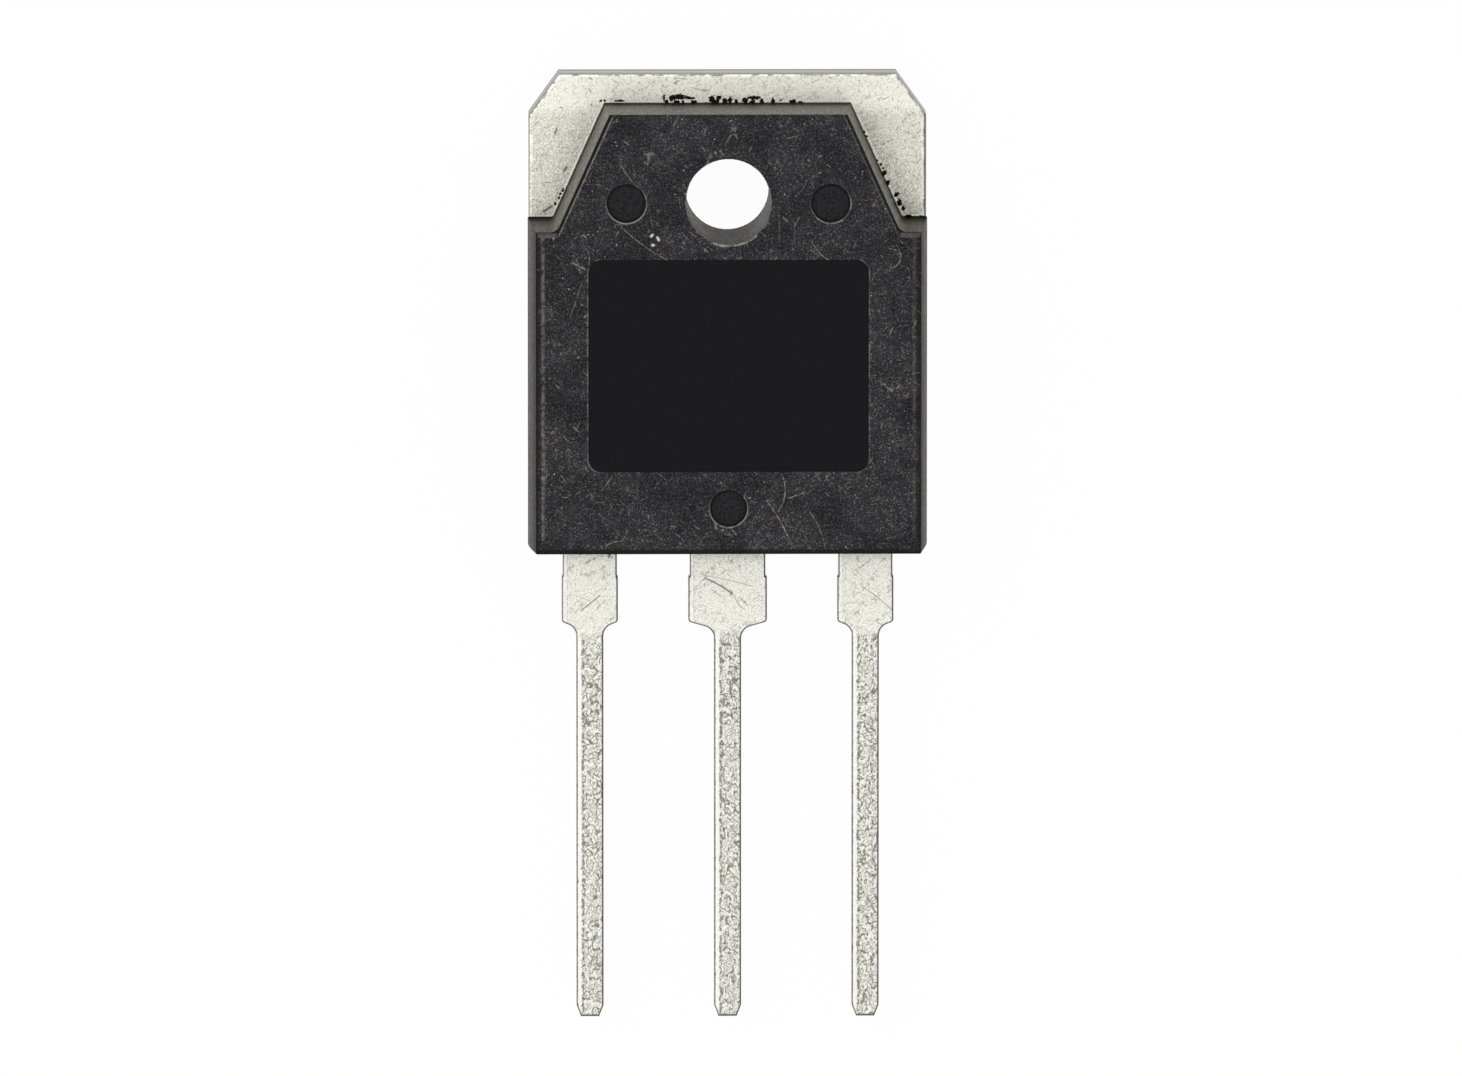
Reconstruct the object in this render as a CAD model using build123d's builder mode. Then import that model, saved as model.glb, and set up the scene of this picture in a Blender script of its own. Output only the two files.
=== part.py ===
from build123d import *
import os
from math import radians, tan

# Three-lead power transistor in a flat moulded package.
#
# A copper plate carries the silicon die and runs on into the centre lead. Its tinned ears stand
# out of the moulding at the tab end, and a screw hole, lined with moulding compound, passes
# through both. Wires join the die to the two outer leads inside the moulding.
#
# Frame: the origin is where the screw hole's axis meets the back plane. +Z points out of the
# marked face, +Y towards the tab end, and the leads run along -Y. Millimetres and degrees.

# ------------------------------------------------------------------ moulding
package_thickness = 4.8      # back plane to marked face
body_width = 15.78           # across the parting plane
hole_to_body_top = 3.555     # hole axis to the narrow end, at the parting plane
hole_to_shoulder = 1.00      # hole axis back to the shoulders below the ears
hole_to_body_foot = 14.28    # hole axis back to the wall that the leads leave through
body_top_width = 9.72        # across the narrow end
shoulder_width = 0.99        # from a side wall in to the foot of a slanted wall
wall_draft = 5.2             # side walls and lead wall, in each half of the mould
shoulder_draft = 3.4         # slanted walls and shoulders
top_draft = 1.6              # wall of the narrow end
body_corner_radius = 0.35    # upright corners at the lead end
shoulder_fillet = 0.20       # between a shoulder and its slanted wall
face_edge_radius = 0.10      # rim of the marked face

# ------------------------------------------------------------------ screw hole
hole_radius = 1.65           # clears an M3 screw
hole_flare = 0.055           # how much wider the core pin makes the hole at the marked face
hole_flare_depth = 0.80
hole_liner = 0.50            # compound between the hole and the copper

# ------------------------------------------------------------------ marked face
ejector_radius = 0.77        # round marks of the mould's ejector pins, two beside the hole
low_ejector_radius = 0.73    # and one near the leads
ejector_depth = 0.12
ejector_spread = 8.05        # between the two upper marks
hole_to_high_ejectors = 0.05
hole_to_low_ejector = 12.16
panel_width = 11.00          # smooth marking panel
panel_height = 8.38
hole_to_panel = 6.50         # hole axis back to the panel's centre
panel_depth = 0.02
panel_corner_radius = 0.50

# ------------------------------------------------------------------ copper plate
plate_thickness = 1.5        # its front face lies in the mould's parting plane
ear_inset = 0.04             # side of the moulding in to the side of an ear
hole_to_plate_top = 4.72
ear_chamfer_width = 1.19     # cut corners of the ears, across
ear_chamfer_height = 1.65    # and along
neck_wall = 1.09             # compound beside the plate's neck, at the parting plane
hole_to_plate_foot = 11.40
plate_foot_chamfer = 0.80
plate_edge_roll = 0.12       # stamped edge round the ears' front face
ledge_width = 0.25           # coined lip along the neck, which keys it into the moulding
ledge_thickness = 0.60
groove_width = 0.50          # coined V groove round the die, which keys the moulding too
groove_depth = 0.20
groove_clearance = 0.70      # die edge to the middle of the groove

# ------------------------------------------------------------------ leads
lead_pitch = 5.45
lead_thickness = 0.60
lead_back_offset = 1.40      # back plane to the leads' back
lead_edge_radius = 0.10      # softened by stamping and tinning
pin_width = 1.07             # the narrow part
pin_length = 18.55           # lead wall to tip
pin_tip_width = 0.72
pin_tip_length = 0.45
blade_length = 2.78          # the wide part, lead wall to shoulder
blade_corner_radius = 0.15
neck_radius = 0.50           # hollow curve from shoulder to pin
tie_bar_drop = 0.95          # lead wall to the stubs of the cut tie bar
side_blade_width = 2.14      # outer leads: width next to the moulding
side_tie_stub = 0.04         # how far a stub stands out
side_shoulder_slope = 21.0
centre_blade_width = 2.99    # the same three for the centre lead
centre_tie_stub = 0.06
centre_shoulder_slope = 15.5

# ------------------------------------------------------------------ inside the moulding
post_depth = 2.20            # lead wall to the inner end of an outer lead
post_width = 3.20            # bonding post at that end
post_length = 1.30
lock_hole_radius = 0.35      # fills with compound and keys the lead
joggle_start = 0.30          # flat stretch from the plate to the joggle
joggle_run = 1.00            # length over which the centre lead climbs
die_width = 5.40
die_length = 5.40
die_thickness = 0.28
hole_to_die = 7.20           # hole axis back to the die's centre
solder_thickness = 0.06
solder_margin = 0.20         # solder beyond each edge of the die
emitter_wire_radius = 0.19
base_wire_radius = 0.13
wire_press = 0.35            # share of its radius by which a wire's foot is flattened
wire_foot_length = 0.50
wire_loop_height = 1.20      # top of the loop above the die
wire_runs = 6                # straight runs that make up a loop
emitter_pad_x = 1.10         # where wires start on the die, from its centre
emitter_pad_y = -0.60
base_pad_x = -1.90
base_pad_y = -1.90
emitter_wire_spacing = 0.90

# ------------------------------------------------------------------ worked out
parting_plane = Plane.XY.offset(plate_thickness)
marked_face = Plane.XY.offset(package_thickness)
front_height = package_thickness - plate_thickness
body_waist_width = body_width - 2 * shoulder_width
plate_width = body_width - 2 * ear_inset
plate_neck_width = body_width - 2 * neck_wall
body_top_y = hole_to_body_top
shoulder_y = -hole_to_shoulder
body_foot_y = -hole_to_body_foot
plate_foot_y = -hole_to_plate_foot
post_end_y = body_foot_y + post_depth
post_start_y = post_end_y - post_length
post_middle_y = (post_start_y + post_end_y) / 2
tip_y = body_foot_y - pin_length
lead_front_z = lead_back_offset + lead_thickness
solder_top_z = plate_thickness + solder_thickness
die_top_z = solder_top_z + die_thickness
die_centre = Vector(0, -hole_to_die, die_top_z)
liner_radius = hole_radius + hole_liner


# ================================================================== leads
def lead_outline(blade_width, tie_stub, shoulder_slope, inner_y):
    """Outline of one lead centred on X = 0, from its tip to an inner end inside the moulding."""
    wide = blade_width / 2 + tie_stub
    shoulder_out_y = body_foot_y - blade_length
    shoulder_in_y = shoulder_out_y - (wide - pin_width / 2) * tan(radians(shoulder_slope))
    stub_y = body_foot_y - tie_bar_drop
    with BuildSketch() as outline:
        with BuildLine():
            Polyline(
                (0, inner_y),
                (blade_width / 2, inner_y),
                (blade_width / 2, stub_y),
                (wide, stub_y - tie_stub),
                (wide, shoulder_out_y),
                (pin_width / 2, shoulder_in_y),
                (pin_width / 2, tip_y + pin_tip_length),
                (pin_tip_width / 2, tip_y),
                (0, tip_y),
            )
            mirror(about=Plane.YZ)
        make_face()
        for corner_y, radius in ((shoulder_in_y, neck_radius), (shoulder_out_y, blade_corner_radius)):
            fillet(outline.vertices().filter_by(lambda v: abs(v.Y - corner_y) < 1e-4), radius)
    return outline.sketch


with BuildPart() as collector_frame:
    # Centre lead: its side view, with the joggle up from the plate, cut to its plan.
    with BuildSketch(Plane.YZ):
        with BuildLine():
            Polyline(
                (plate_foot_y, plate_thickness - lead_thickness),
                (plate_foot_y - joggle_start, plate_thickness - lead_thickness),
                (plate_foot_y - joggle_start - joggle_run, lead_back_offset),
                (tip_y, lead_back_offset),
                (tip_y, lead_front_z),
                (plate_foot_y - joggle_start - joggle_run, lead_front_z),
                (plate_foot_y - joggle_start, plate_thickness),
                (plate_foot_y, plate_thickness),
                close=True,
            )
        make_face()
    extrude(amount=centre_blade_width, both=True)
    with BuildSketch():
        add(lead_outline(centre_blade_width, centre_tie_stub, centre_shoulder_slope, plate_foot_y))
    extrude(amount=package_thickness, mode=Mode.INTERSECT)
    lead_rim = collector_frame.edges().group_by(Axis.Z)[-1]
    fillet(lead_rim.filter_by(lambda e: e.center().Y < post_end_y - joggle_start), lead_edge_radius)

    # Plate: ears at the tab end, and the narrower neck below them.
    with BuildSketch() as plate_outline:
        with BuildLine():
            Polyline(
                (0, hole_to_plate_top),
                (plate_width / 2 - ear_chamfer_width, hole_to_plate_top),
                (plate_width / 2, hole_to_plate_top - ear_chamfer_height),
                (plate_width / 2, shoulder_y),
                (plate_neck_width / 2, shoulder_y),
                (plate_neck_width / 2, plate_foot_y + plate_foot_chamfer),
                (plate_neck_width / 2 - plate_foot_chamfer, plate_foot_y),
                (0, plate_foot_y),
            )
            mirror(about=Plane.YZ)
        make_face()
    extrude(amount=plate_thickness)
    front_rim = collector_frame.edges().filter_by_position(
        Axis.Z, plate_thickness - 1e-4, plate_thickness + 1e-4
    )
    fillet(front_rim.filter_by(lambda e: e.center().Y > shoulder_y + 1e-3), plate_edge_roll)

    # Lip along each side of the neck.
    lip_length = shoulder_y - plate_foot_y - plate_foot_chamfer
    with BuildSketch(parting_plane):
        with Locations((0, shoulder_y - lip_length / 2)):
            Rectangle(plate_neck_width + 2 * ledge_width, lip_length)
    extrude(amount=-ledge_thickness)

    # V groove round the die, and the hole that the liner fills.
    with BuildLine(Plane.XY.offset(plate_thickness)) as groove_path:
        Polyline(
            (0, die_centre.Y + die_length / 2 + groove_clearance),
            (die_width / 2 + groove_clearance, die_centre.Y + die_length / 2 + groove_clearance),
            (die_width / 2 + groove_clearance, die_centre.Y - die_length / 2 - groove_clearance),
            (-die_width / 2 - groove_clearance, die_centre.Y - die_length / 2 - groove_clearance),
            (-die_width / 2 - groove_clearance, die_centre.Y + die_length / 2 + groove_clearance),
            close=True,
        )
    with BuildSketch(Plane.YZ):
        with Locations((die_centre.Y + die_length / 2 + groove_clearance, plate_thickness)):
            with BuildLine():
                Polyline((-groove_width / 2, 0), (groove_width / 2, 0), (0, -groove_depth), close=True)
        make_face()
    sweep(path=groove_path.line, transition=Transition.RIGHT, mode=Mode.SUBTRACT)
    with BuildSketch():
        Circle(liner_radius)
    extrude(amount=plate_thickness, mode=Mode.SUBTRACT)


outer_leads = {}
for lead_name, lead_x in (("base_lead", -lead_pitch), ("emitter_lead", lead_pitch)):
    lead_plane = Plane(origin=(lead_x, 0, lead_back_offset))
    with BuildPart() as outer_lead:
        with BuildSketch(lead_plane):
            add(lead_outline(side_blade_width, side_tie_stub, side_shoulder_slope, post_end_y))
            with Locations((0, post_middle_y)):
                Rectangle(post_width, post_length)
            with Locations((0, post_start_y)):
                Circle(lock_hole_radius, mode=Mode.SUBTRACT)
        extrude(amount=lead_thickness)
        lead_rim = outer_lead.faces().sort_by(Axis.Z)[-1].outer_wire().edges()
        fillet(lead_rim.filter_by(lambda e: e.center().Y < post_start_y - 1e-3), lead_edge_radius)
    outer_leads[lead_name] = outer_lead.part


# ================================================================== die and its solder
with BuildPart() as silicon_die:
    with BuildSketch(Plane.XY.offset(solder_top_z)):
        with Locations((die_centre.X, die_centre.Y)):
            Rectangle(die_width, die_length)
    extrude(amount=die_thickness)

with BuildPart() as die_solder:
    for level, margin in ((plate_thickness, solder_margin), (solder_top_z, 0)):
        with BuildSketch(Plane.XY.offset(level)):
            with Locations((die_centre.X, die_centre.Y)):
                Rectangle(die_width + 2 * margin, die_length + 2 * margin)
    loft()


# ================================================================== bond wires
emitter_post = Vector(lead_pitch, post_middle_y, lead_front_z)
base_post = Vector(-lead_pitch, post_middle_y, lead_front_z)
emitter_pad = die_centre + Vector(emitter_pad_x, emitter_pad_y)
base_pad = die_centre + Vector(base_pad_x, base_pad_y)
emitter_run = Vector(emitter_post.X - emitter_pad.X, emitter_post.Y - emitter_pad.Y)
half_spacing = emitter_run.normalized().rotate(Axis.Z, 90) * (emitter_wire_spacing / 2)

wires = {}
for wire_name, shift, pad, post, lead_name, radius in (
    ("emitter_wire_1", half_spacing, emitter_pad, emitter_post, "emitter_lead", emitter_wire_radius),
    ("emitter_wire_2", -half_spacing, emitter_pad, emitter_post, "emitter_lead", emitter_wire_radius),
    ("base_wire", Vector(), base_pad, base_post, "base_lead", base_wire_radius),
):
    span = Vector(post.X - pad.X, post.Y - pad.Y)
    foot = radius * (1 - wire_press)
    post_height = post.Z - pad.Z
    upright_plane = Plane(origin=pad + shift, x_dir=span, z_dir=span.cross(Vector(0, 0, 1)))
    with BuildPart() as bond_wire:
        with BuildLine(upright_plane) as loop:
            arch = ThreePointArc(
                (0, foot),
                (span.length / 2, wire_loop_height),
                (span.length, post_height + foot),
                mode=Mode.PRIVATE,
            )
            Polyline([arch @ (run / wire_runs) for run in range(wire_runs + 1)])
        with BuildSketch(Plane(origin=loop.line @ 0, z_dir=loop.line % 0)):
            Circle(radius)
        sweep(transition=Transition.RIGHT)
        for end in (loop.line @ 0, loop.line @ 1):
            with BuildSketch(Plane(origin=end, z_dir=span)):
                Circle(radius)
            extrude(amount=wire_foot_length / 2, both=True)
        add([silicon_die.part, outer_leads[lead_name]], mode=Mode.SUBTRACT)
    wires[wire_name] = bond_wire.part


# ================================================================== moulding
def upright(face):
    """True for a wall that the draft hasn't tilted yet."""
    return abs(face.normal_at().Z) < 1e-6


def outer_wall(face):
    """True for an untilted side wall, the lead wall or a rounded corner between them."""
    normal = face.normal_at()
    return upright(face) and (abs(normal.X) > 1 - 1e-6 or normal.Y < -1e-6)


with BuildPart() as mould_back:
    # Back half of the mould: from the parting plane to the back, below the ears only.
    with BuildSketch(parting_plane) as back_outline:
        with BuildLine():
            Polyline(
                (0, shoulder_y),
                (body_width / 2, shoulder_y),
                (body_width / 2, body_foot_y),
                (0, body_foot_y),
            )
            mirror(about=Plane.YZ)
        make_face()
        fillet(back_outline.vertices().group_by(Axis.Y)[0], body_corner_radius)
    extrude(amount=-plate_thickness)
    draft(mould_back.faces().filter_by(outer_wall), parting_plane, -wall_draft)

with BuildPart() as moulded_body:
    # Front half: the full outline, each group of walls with its own draft.
    with BuildSketch(parting_plane) as front_outline:
        with BuildLine():
            Polyline(
                (0, body_top_y),
                (body_top_width / 2, body_top_y),
                (body_waist_width / 2, shoulder_y),
                (body_width / 2, shoulder_y),
                (body_width / 2, body_foot_y),
                (0, body_foot_y),
            )
            mirror(about=Plane.YZ)
        make_face()
        fillet(front_outline.vertices().group_by(Axis.Y)[0], body_corner_radius)
        waist = front_outline.vertices().filter_by(lambda v: abs(abs(v.X) - body_waist_width / 2) < 1e-4)
        fillet(waist, shoulder_fillet)
    extrude(amount=front_height)
    draft(moulded_body.faces().filter_by(outer_wall), parting_plane, wall_draft)
    shoulders = moulded_body.faces().filter_by(upright).filter_by(
        lambda f: f.center().Y < body_top_y - 1e-3
    )
    draft(shoulders, parting_plane, shoulder_draft)
    draft(moulded_body.faces().filter_by(upright), parting_plane, top_draft)
    fillet(moulded_body.faces().sort_by(Axis.Z)[-1].outer_wire().edges(), face_edge_radius)

    # Back half, and the liner that carries the screw hole through the plate.
    add(mould_back.part)
    with BuildSketch():
        Circle(liner_radius)
    extrude(amount=plate_thickness)

    # The compound fills what is left round the metal, the die and the wires.
    add([collector_frame.part, silicon_die.part, die_solder.part], mode=Mode.SUBTRACT)
    add(list(outer_leads.values()), mode=Mode.SUBTRACT)
    add(list(wires.values()), mode=Mode.SUBTRACT)

    # Screw hole.
    with Locations(marked_face):
        Hole(hole_radius, depth=package_thickness)
    face = moulded_body.faces().sort_by(Axis.Z)[-1]
    chamfer(face.inner_wires()[0].edges(), hole_flare, length2=hole_flare_depth, reference=face)

    # Marks of the ejector pins, and the smooth marking panel.
    with BuildSketch(marked_face):
        with Locations(
            (-ejector_spread / 2, -hole_to_high_ejectors),
            (ejector_spread / 2, -hole_to_high_ejectors),
        ):
            Circle(ejector_radius)
        with Locations((0, -hole_to_low_ejector)):
            Circle(low_ejector_radius)
    extrude(amount=-ejector_depth, mode=Mode.SUBTRACT)
    with BuildSketch(marked_face):
        with Locations((0, -hole_to_panel)):
            RectangleRounded(panel_width, panel_height, panel_corner_radius)
    extrude(amount=-panel_depth, mode=Mode.SUBTRACT)


# ================================================================== write the pieces
pieces = {
    "moulded_body": moulded_body.part,
    "collector_frame": collector_frame.part,
    "silicon_die": silicon_die.part,
    "die_solder": die_solder.part,
    **outer_leads,
    **wires,
}
os.makedirs("parts", exist_ok=True)
for name, piece in pieces.items():
    piece.label = name
    export_step(piece, f"parts/{name}.step")
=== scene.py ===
"""Finishes, mould flash, studio and camera for the power transistor.

Blender works in metres in the part's own frame. The origin is where the screw hole's axis meets
the back plane, +Z points out of the marked face, +Y towards the tab end, and the leads run along
-Y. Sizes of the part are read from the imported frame. The others are named here in millimetres.
"""

import logging
import math
from dataclasses import dataclass, field
from enum import Enum
from functools import reduce

import bmesh
import bpy
from mathutils import Matrix, Vector, noise


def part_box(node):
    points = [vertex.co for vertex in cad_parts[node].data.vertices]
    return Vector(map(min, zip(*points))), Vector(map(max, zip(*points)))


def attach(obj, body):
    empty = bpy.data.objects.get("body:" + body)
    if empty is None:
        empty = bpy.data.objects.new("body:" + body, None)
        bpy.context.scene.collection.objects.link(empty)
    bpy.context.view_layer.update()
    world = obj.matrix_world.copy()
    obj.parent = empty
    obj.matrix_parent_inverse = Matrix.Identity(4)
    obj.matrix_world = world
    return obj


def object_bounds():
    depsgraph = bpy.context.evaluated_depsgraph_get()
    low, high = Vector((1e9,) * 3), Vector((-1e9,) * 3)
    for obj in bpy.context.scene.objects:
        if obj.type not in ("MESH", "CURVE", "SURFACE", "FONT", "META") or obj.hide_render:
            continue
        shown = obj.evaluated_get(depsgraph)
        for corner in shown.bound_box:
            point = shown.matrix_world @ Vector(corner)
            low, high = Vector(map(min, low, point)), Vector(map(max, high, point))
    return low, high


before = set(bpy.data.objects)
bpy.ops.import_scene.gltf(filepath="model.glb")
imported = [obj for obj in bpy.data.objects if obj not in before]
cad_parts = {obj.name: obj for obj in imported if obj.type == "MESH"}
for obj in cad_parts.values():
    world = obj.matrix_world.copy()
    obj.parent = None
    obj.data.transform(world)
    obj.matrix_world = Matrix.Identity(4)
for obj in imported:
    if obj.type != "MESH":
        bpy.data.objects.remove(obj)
CAD_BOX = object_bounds()

MM = 0.001
SAME_LEVEL = 0.001  # millimetres between points that count as equally high or far
SAME_EDGE = 0.01  # the same along the plate's rolled edges
LOG = logging.getLogger("power_transistor")

Colour = tuple[float, float, float, float]
Place = tuple[float, float]
Box = tuple[int, int, int, int]
Term = "Value | float"
WHITE: Colour = (1.0, 1.0, 1.0, 1.0)


def srgb(red: float, green: float, blue: float) -> Colour:
    """Turn a colour as a screen shows it into Blender's linear one.

    Args:
        red: Red from 0 to 255.
        green: Green from 0 to 255.
        blue: Blue from 0 to 255.

    Returns:
        The linear colour with full alpha.
    """
    def linear(channel: float) -> float:
        """Undo the screen's tone curve for one channel."""
        share = channel / 255
        return share / 12.92 if share <= 0.04045 else ((share + 0.055) / 1.055) ** 2.4

    return (linear(red), linear(green), linear(blue), 1.0)


# ====================================================================== shader expressions
class Value:
    """A number that varies over a surface: an output socket that Python operators work on."""

    def __init__(self, graph: "Graph", socket: bpy.types.NodeSocket) -> None:
        """Keep the graph that new nodes go to, and the socket."""
        self.graph = graph
        self.socket = socket

    def __add__(self, other: Term) -> "Value":
        """Sum."""
        return self.graph.math("ADD", self, other)

    __radd__ = __add__

    def __sub__(self, other: Term) -> "Value":
        """Difference."""
        return self.graph.math("SUBTRACT", self, other)

    def __rsub__(self, other: Term) -> "Value":
        """Difference, taken from a plain number."""
        return self.graph.math("SUBTRACT", other, self)

    def __mul__(self, other: Term) -> "Value":
        """Product."""
        return self.graph.math("MULTIPLY", self, other)

    __rmul__ = __mul__

    def __truediv__(self, other: Term) -> "Value":
        """Quotient."""
        return self.graph.math("DIVIDE", self, other)

    def __neg__(self) -> "Value":
        """The same number with the other sign."""
        return self.graph.math("MULTIPLY", self, -1.0)

    def __abs__(self) -> "Value":
        """Distance from zero."""
        return self.graph.math("ABSOLUTE", self)

    def least(self, other: Term) -> "Value":
        """The smaller of the two."""
        return self.graph.math("MINIMUM", self, other)

    def most(self, other: Term) -> "Value":
        """The larger of the two."""
        return self.graph.math("MAXIMUM", self, other)

    def rise(self, low: float, high: float) -> "Value":
        """Go smoothly from 0 to 1.

        Args:
            low: Where the result is still 0. It may be above high, for a fall instead.
            high: Where it has reached 1.

        Returns:
            The mask.
        """
        node = self.graph.add(
            "ShaderNodeMapRange",
            {"interpolation_type": "SMOOTHSTEP"},
            {"Value": self, "From Min": low, "From Max": high},
        )
        return Value(self.graph, node.outputs["Result"])

    def near(self, middle: float, half_width: float) -> "Value":
        """A soft line: 1 where the number is at middle, 0 from half_width away."""
        return abs(self - middle).rise(half_width, 0.0)

    def within(self, low: float, high: float, soft: float) -> "Value":
        """A band: 1 from low to high, with soft edges of the given width outside it."""
        return self.rise(low - soft, low) * self.rise(high + soft, high)


class Graph:
    """The node tree of one material or world, with one method that adds any node."""

    def __init__(self, owner: bpy.types.Material | bpy.types.World) -> None:
        """Switch the owner to nodes and start from an empty tree.

        Args:
            owner: The material or world.
        """
        owner.use_nodes = True
        self.tree = owner.node_tree
        self.tree.nodes.clear()

    def add(self, kind: str, settings: dict[str, object] | None = None,
            sockets: dict[str | int, object] | None = None) -> bpy.types.Node:
        """Add one node.

        Args:
            kind: The node's type.
            settings: Its properties, set before its sockets.
            sockets: Values or links, by the input's name or number.

        Returns:
            The node.
        """
        node = self.tree.nodes.new(kind)
        for name, setting in (settings or {}).items():
            setattr(node, name, setting)
        for name, value in (sockets or {}).items():
            socket = getattr(value, "socket", value)
            if isinstance(socket, bpy.types.NodeSocket):
                self.tree.links.new(socket, node.inputs[name])
            else:
                node.inputs[name].default_value = socket
        return node

    def math(self, operation: str, *terms: Term) -> Value:
        """Add a Math node.

        Args:
            operation: Its operation.
            terms: Values or plain numbers, in the order of its inputs.

        Returns:
            The result.
        """
        node = self.add("ShaderNodeMath", {"operation": operation}, dict(enumerate(terms)))
        return Value(self, node.outputs[0])

    def mix(self, share: Term, first: "Value | Colour", second: "Value | Colour") -> Value:
        """Mix two colours.

        Args:
            share: How much of the second.
            first: The colour at share 0.
            second: The colour at share 1.

        Returns:
            The mixed colour.
        """
        node = self.add(
            "ShaderNodeMix",
            {"data_type": "RGBA", "clamp_factor": True},
            {0: share, 6: first, 7: second},
        )
        return Value(self, node.outputs[2])

    def layers(self, colour: "Value | Colour", *layers: tuple[Term, "Value | Colour"]) -> Value:
        """Lay colours over a colour, one after another.

        Args:
            colour: The colour underneath.
            layers: The share and the colour of each layer, the lowest first.

        Returns:
            The colour with all of them on it.
        """
        for share, layer in layers:
            colour = self.mix(share, colour, layer)
        return colour

    def vector(self, operation: str, *terms: object) -> bpy.types.NodeSocket:
        """Add a Vector Math node.

        Args:
            operation: Its operation.
            terms: Vectors, or vector sockets. For SCALE the second is a number.

        Returns:
            The vector it gives, or the number where it gives one.
        """
        sockets = dict(enumerate(terms))
        if operation == "SCALE":
            sockets = {0: terms[0], "Scale": terms[1]}
        node = self.add("ShaderNodeVectorMath", {"operation": operation}, sockets)
        return node.outputs["Value" if operation in ("DOT_PRODUCT", "LENGTH") else "Vector"]

    def number(self, operation: str, *terms: object) -> Value:
        """A Vector Math node that gives a number."""
        return Value(self, self.vector(operation, *terms))

    def blend(self, share: Term, first: bpy.types.Node, second: bpy.types.Node) -> bpy.types.Node:
        """Mix two shaders.

        Args:
            share: How much of the second.
            first: The shader at share 0.
            second: The shader at share 1.

        Returns:
            The Mix Shader node.
        """
        sockets = {0: share, 1: first.outputs[0], 2: second.outputs[0]}
        return self.add("ShaderNodeMixShader", sockets=sockets)

    def finish(self, surface: bpy.types.Node) -> None:
        """Link a shader or a background to the tree's output.

        Args:
            surface: The shader or background.
        """
        is_world = surface.bl_idname == "ShaderNodeBackground"
        kind = "ShaderNodeOutputWorld" if is_world else "ShaderNodeOutputMaterial"
        self.add(kind, sockets={"Surface": surface.outputs[0]})


class Strength(Enum):
    """How clearly a scratch or a pit shows."""

    FAINT = 0.4
    CLEAR = 0.7
    BRIGHT = 1.0


@dataclass(frozen=True)
class Scratch:
    """One straight or bowed scratch, seen from above.

    Attributes:
        start: One end.
        end: The other end.
        bow: How far its middle stands aside.
        half_width: Half its width.
        strength: How clearly it shows.
    """

    start: Place
    end: Place
    bow: float = 0.0
    half_width: float = 0.035
    strength: Strength = Strength.CLEAR


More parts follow.
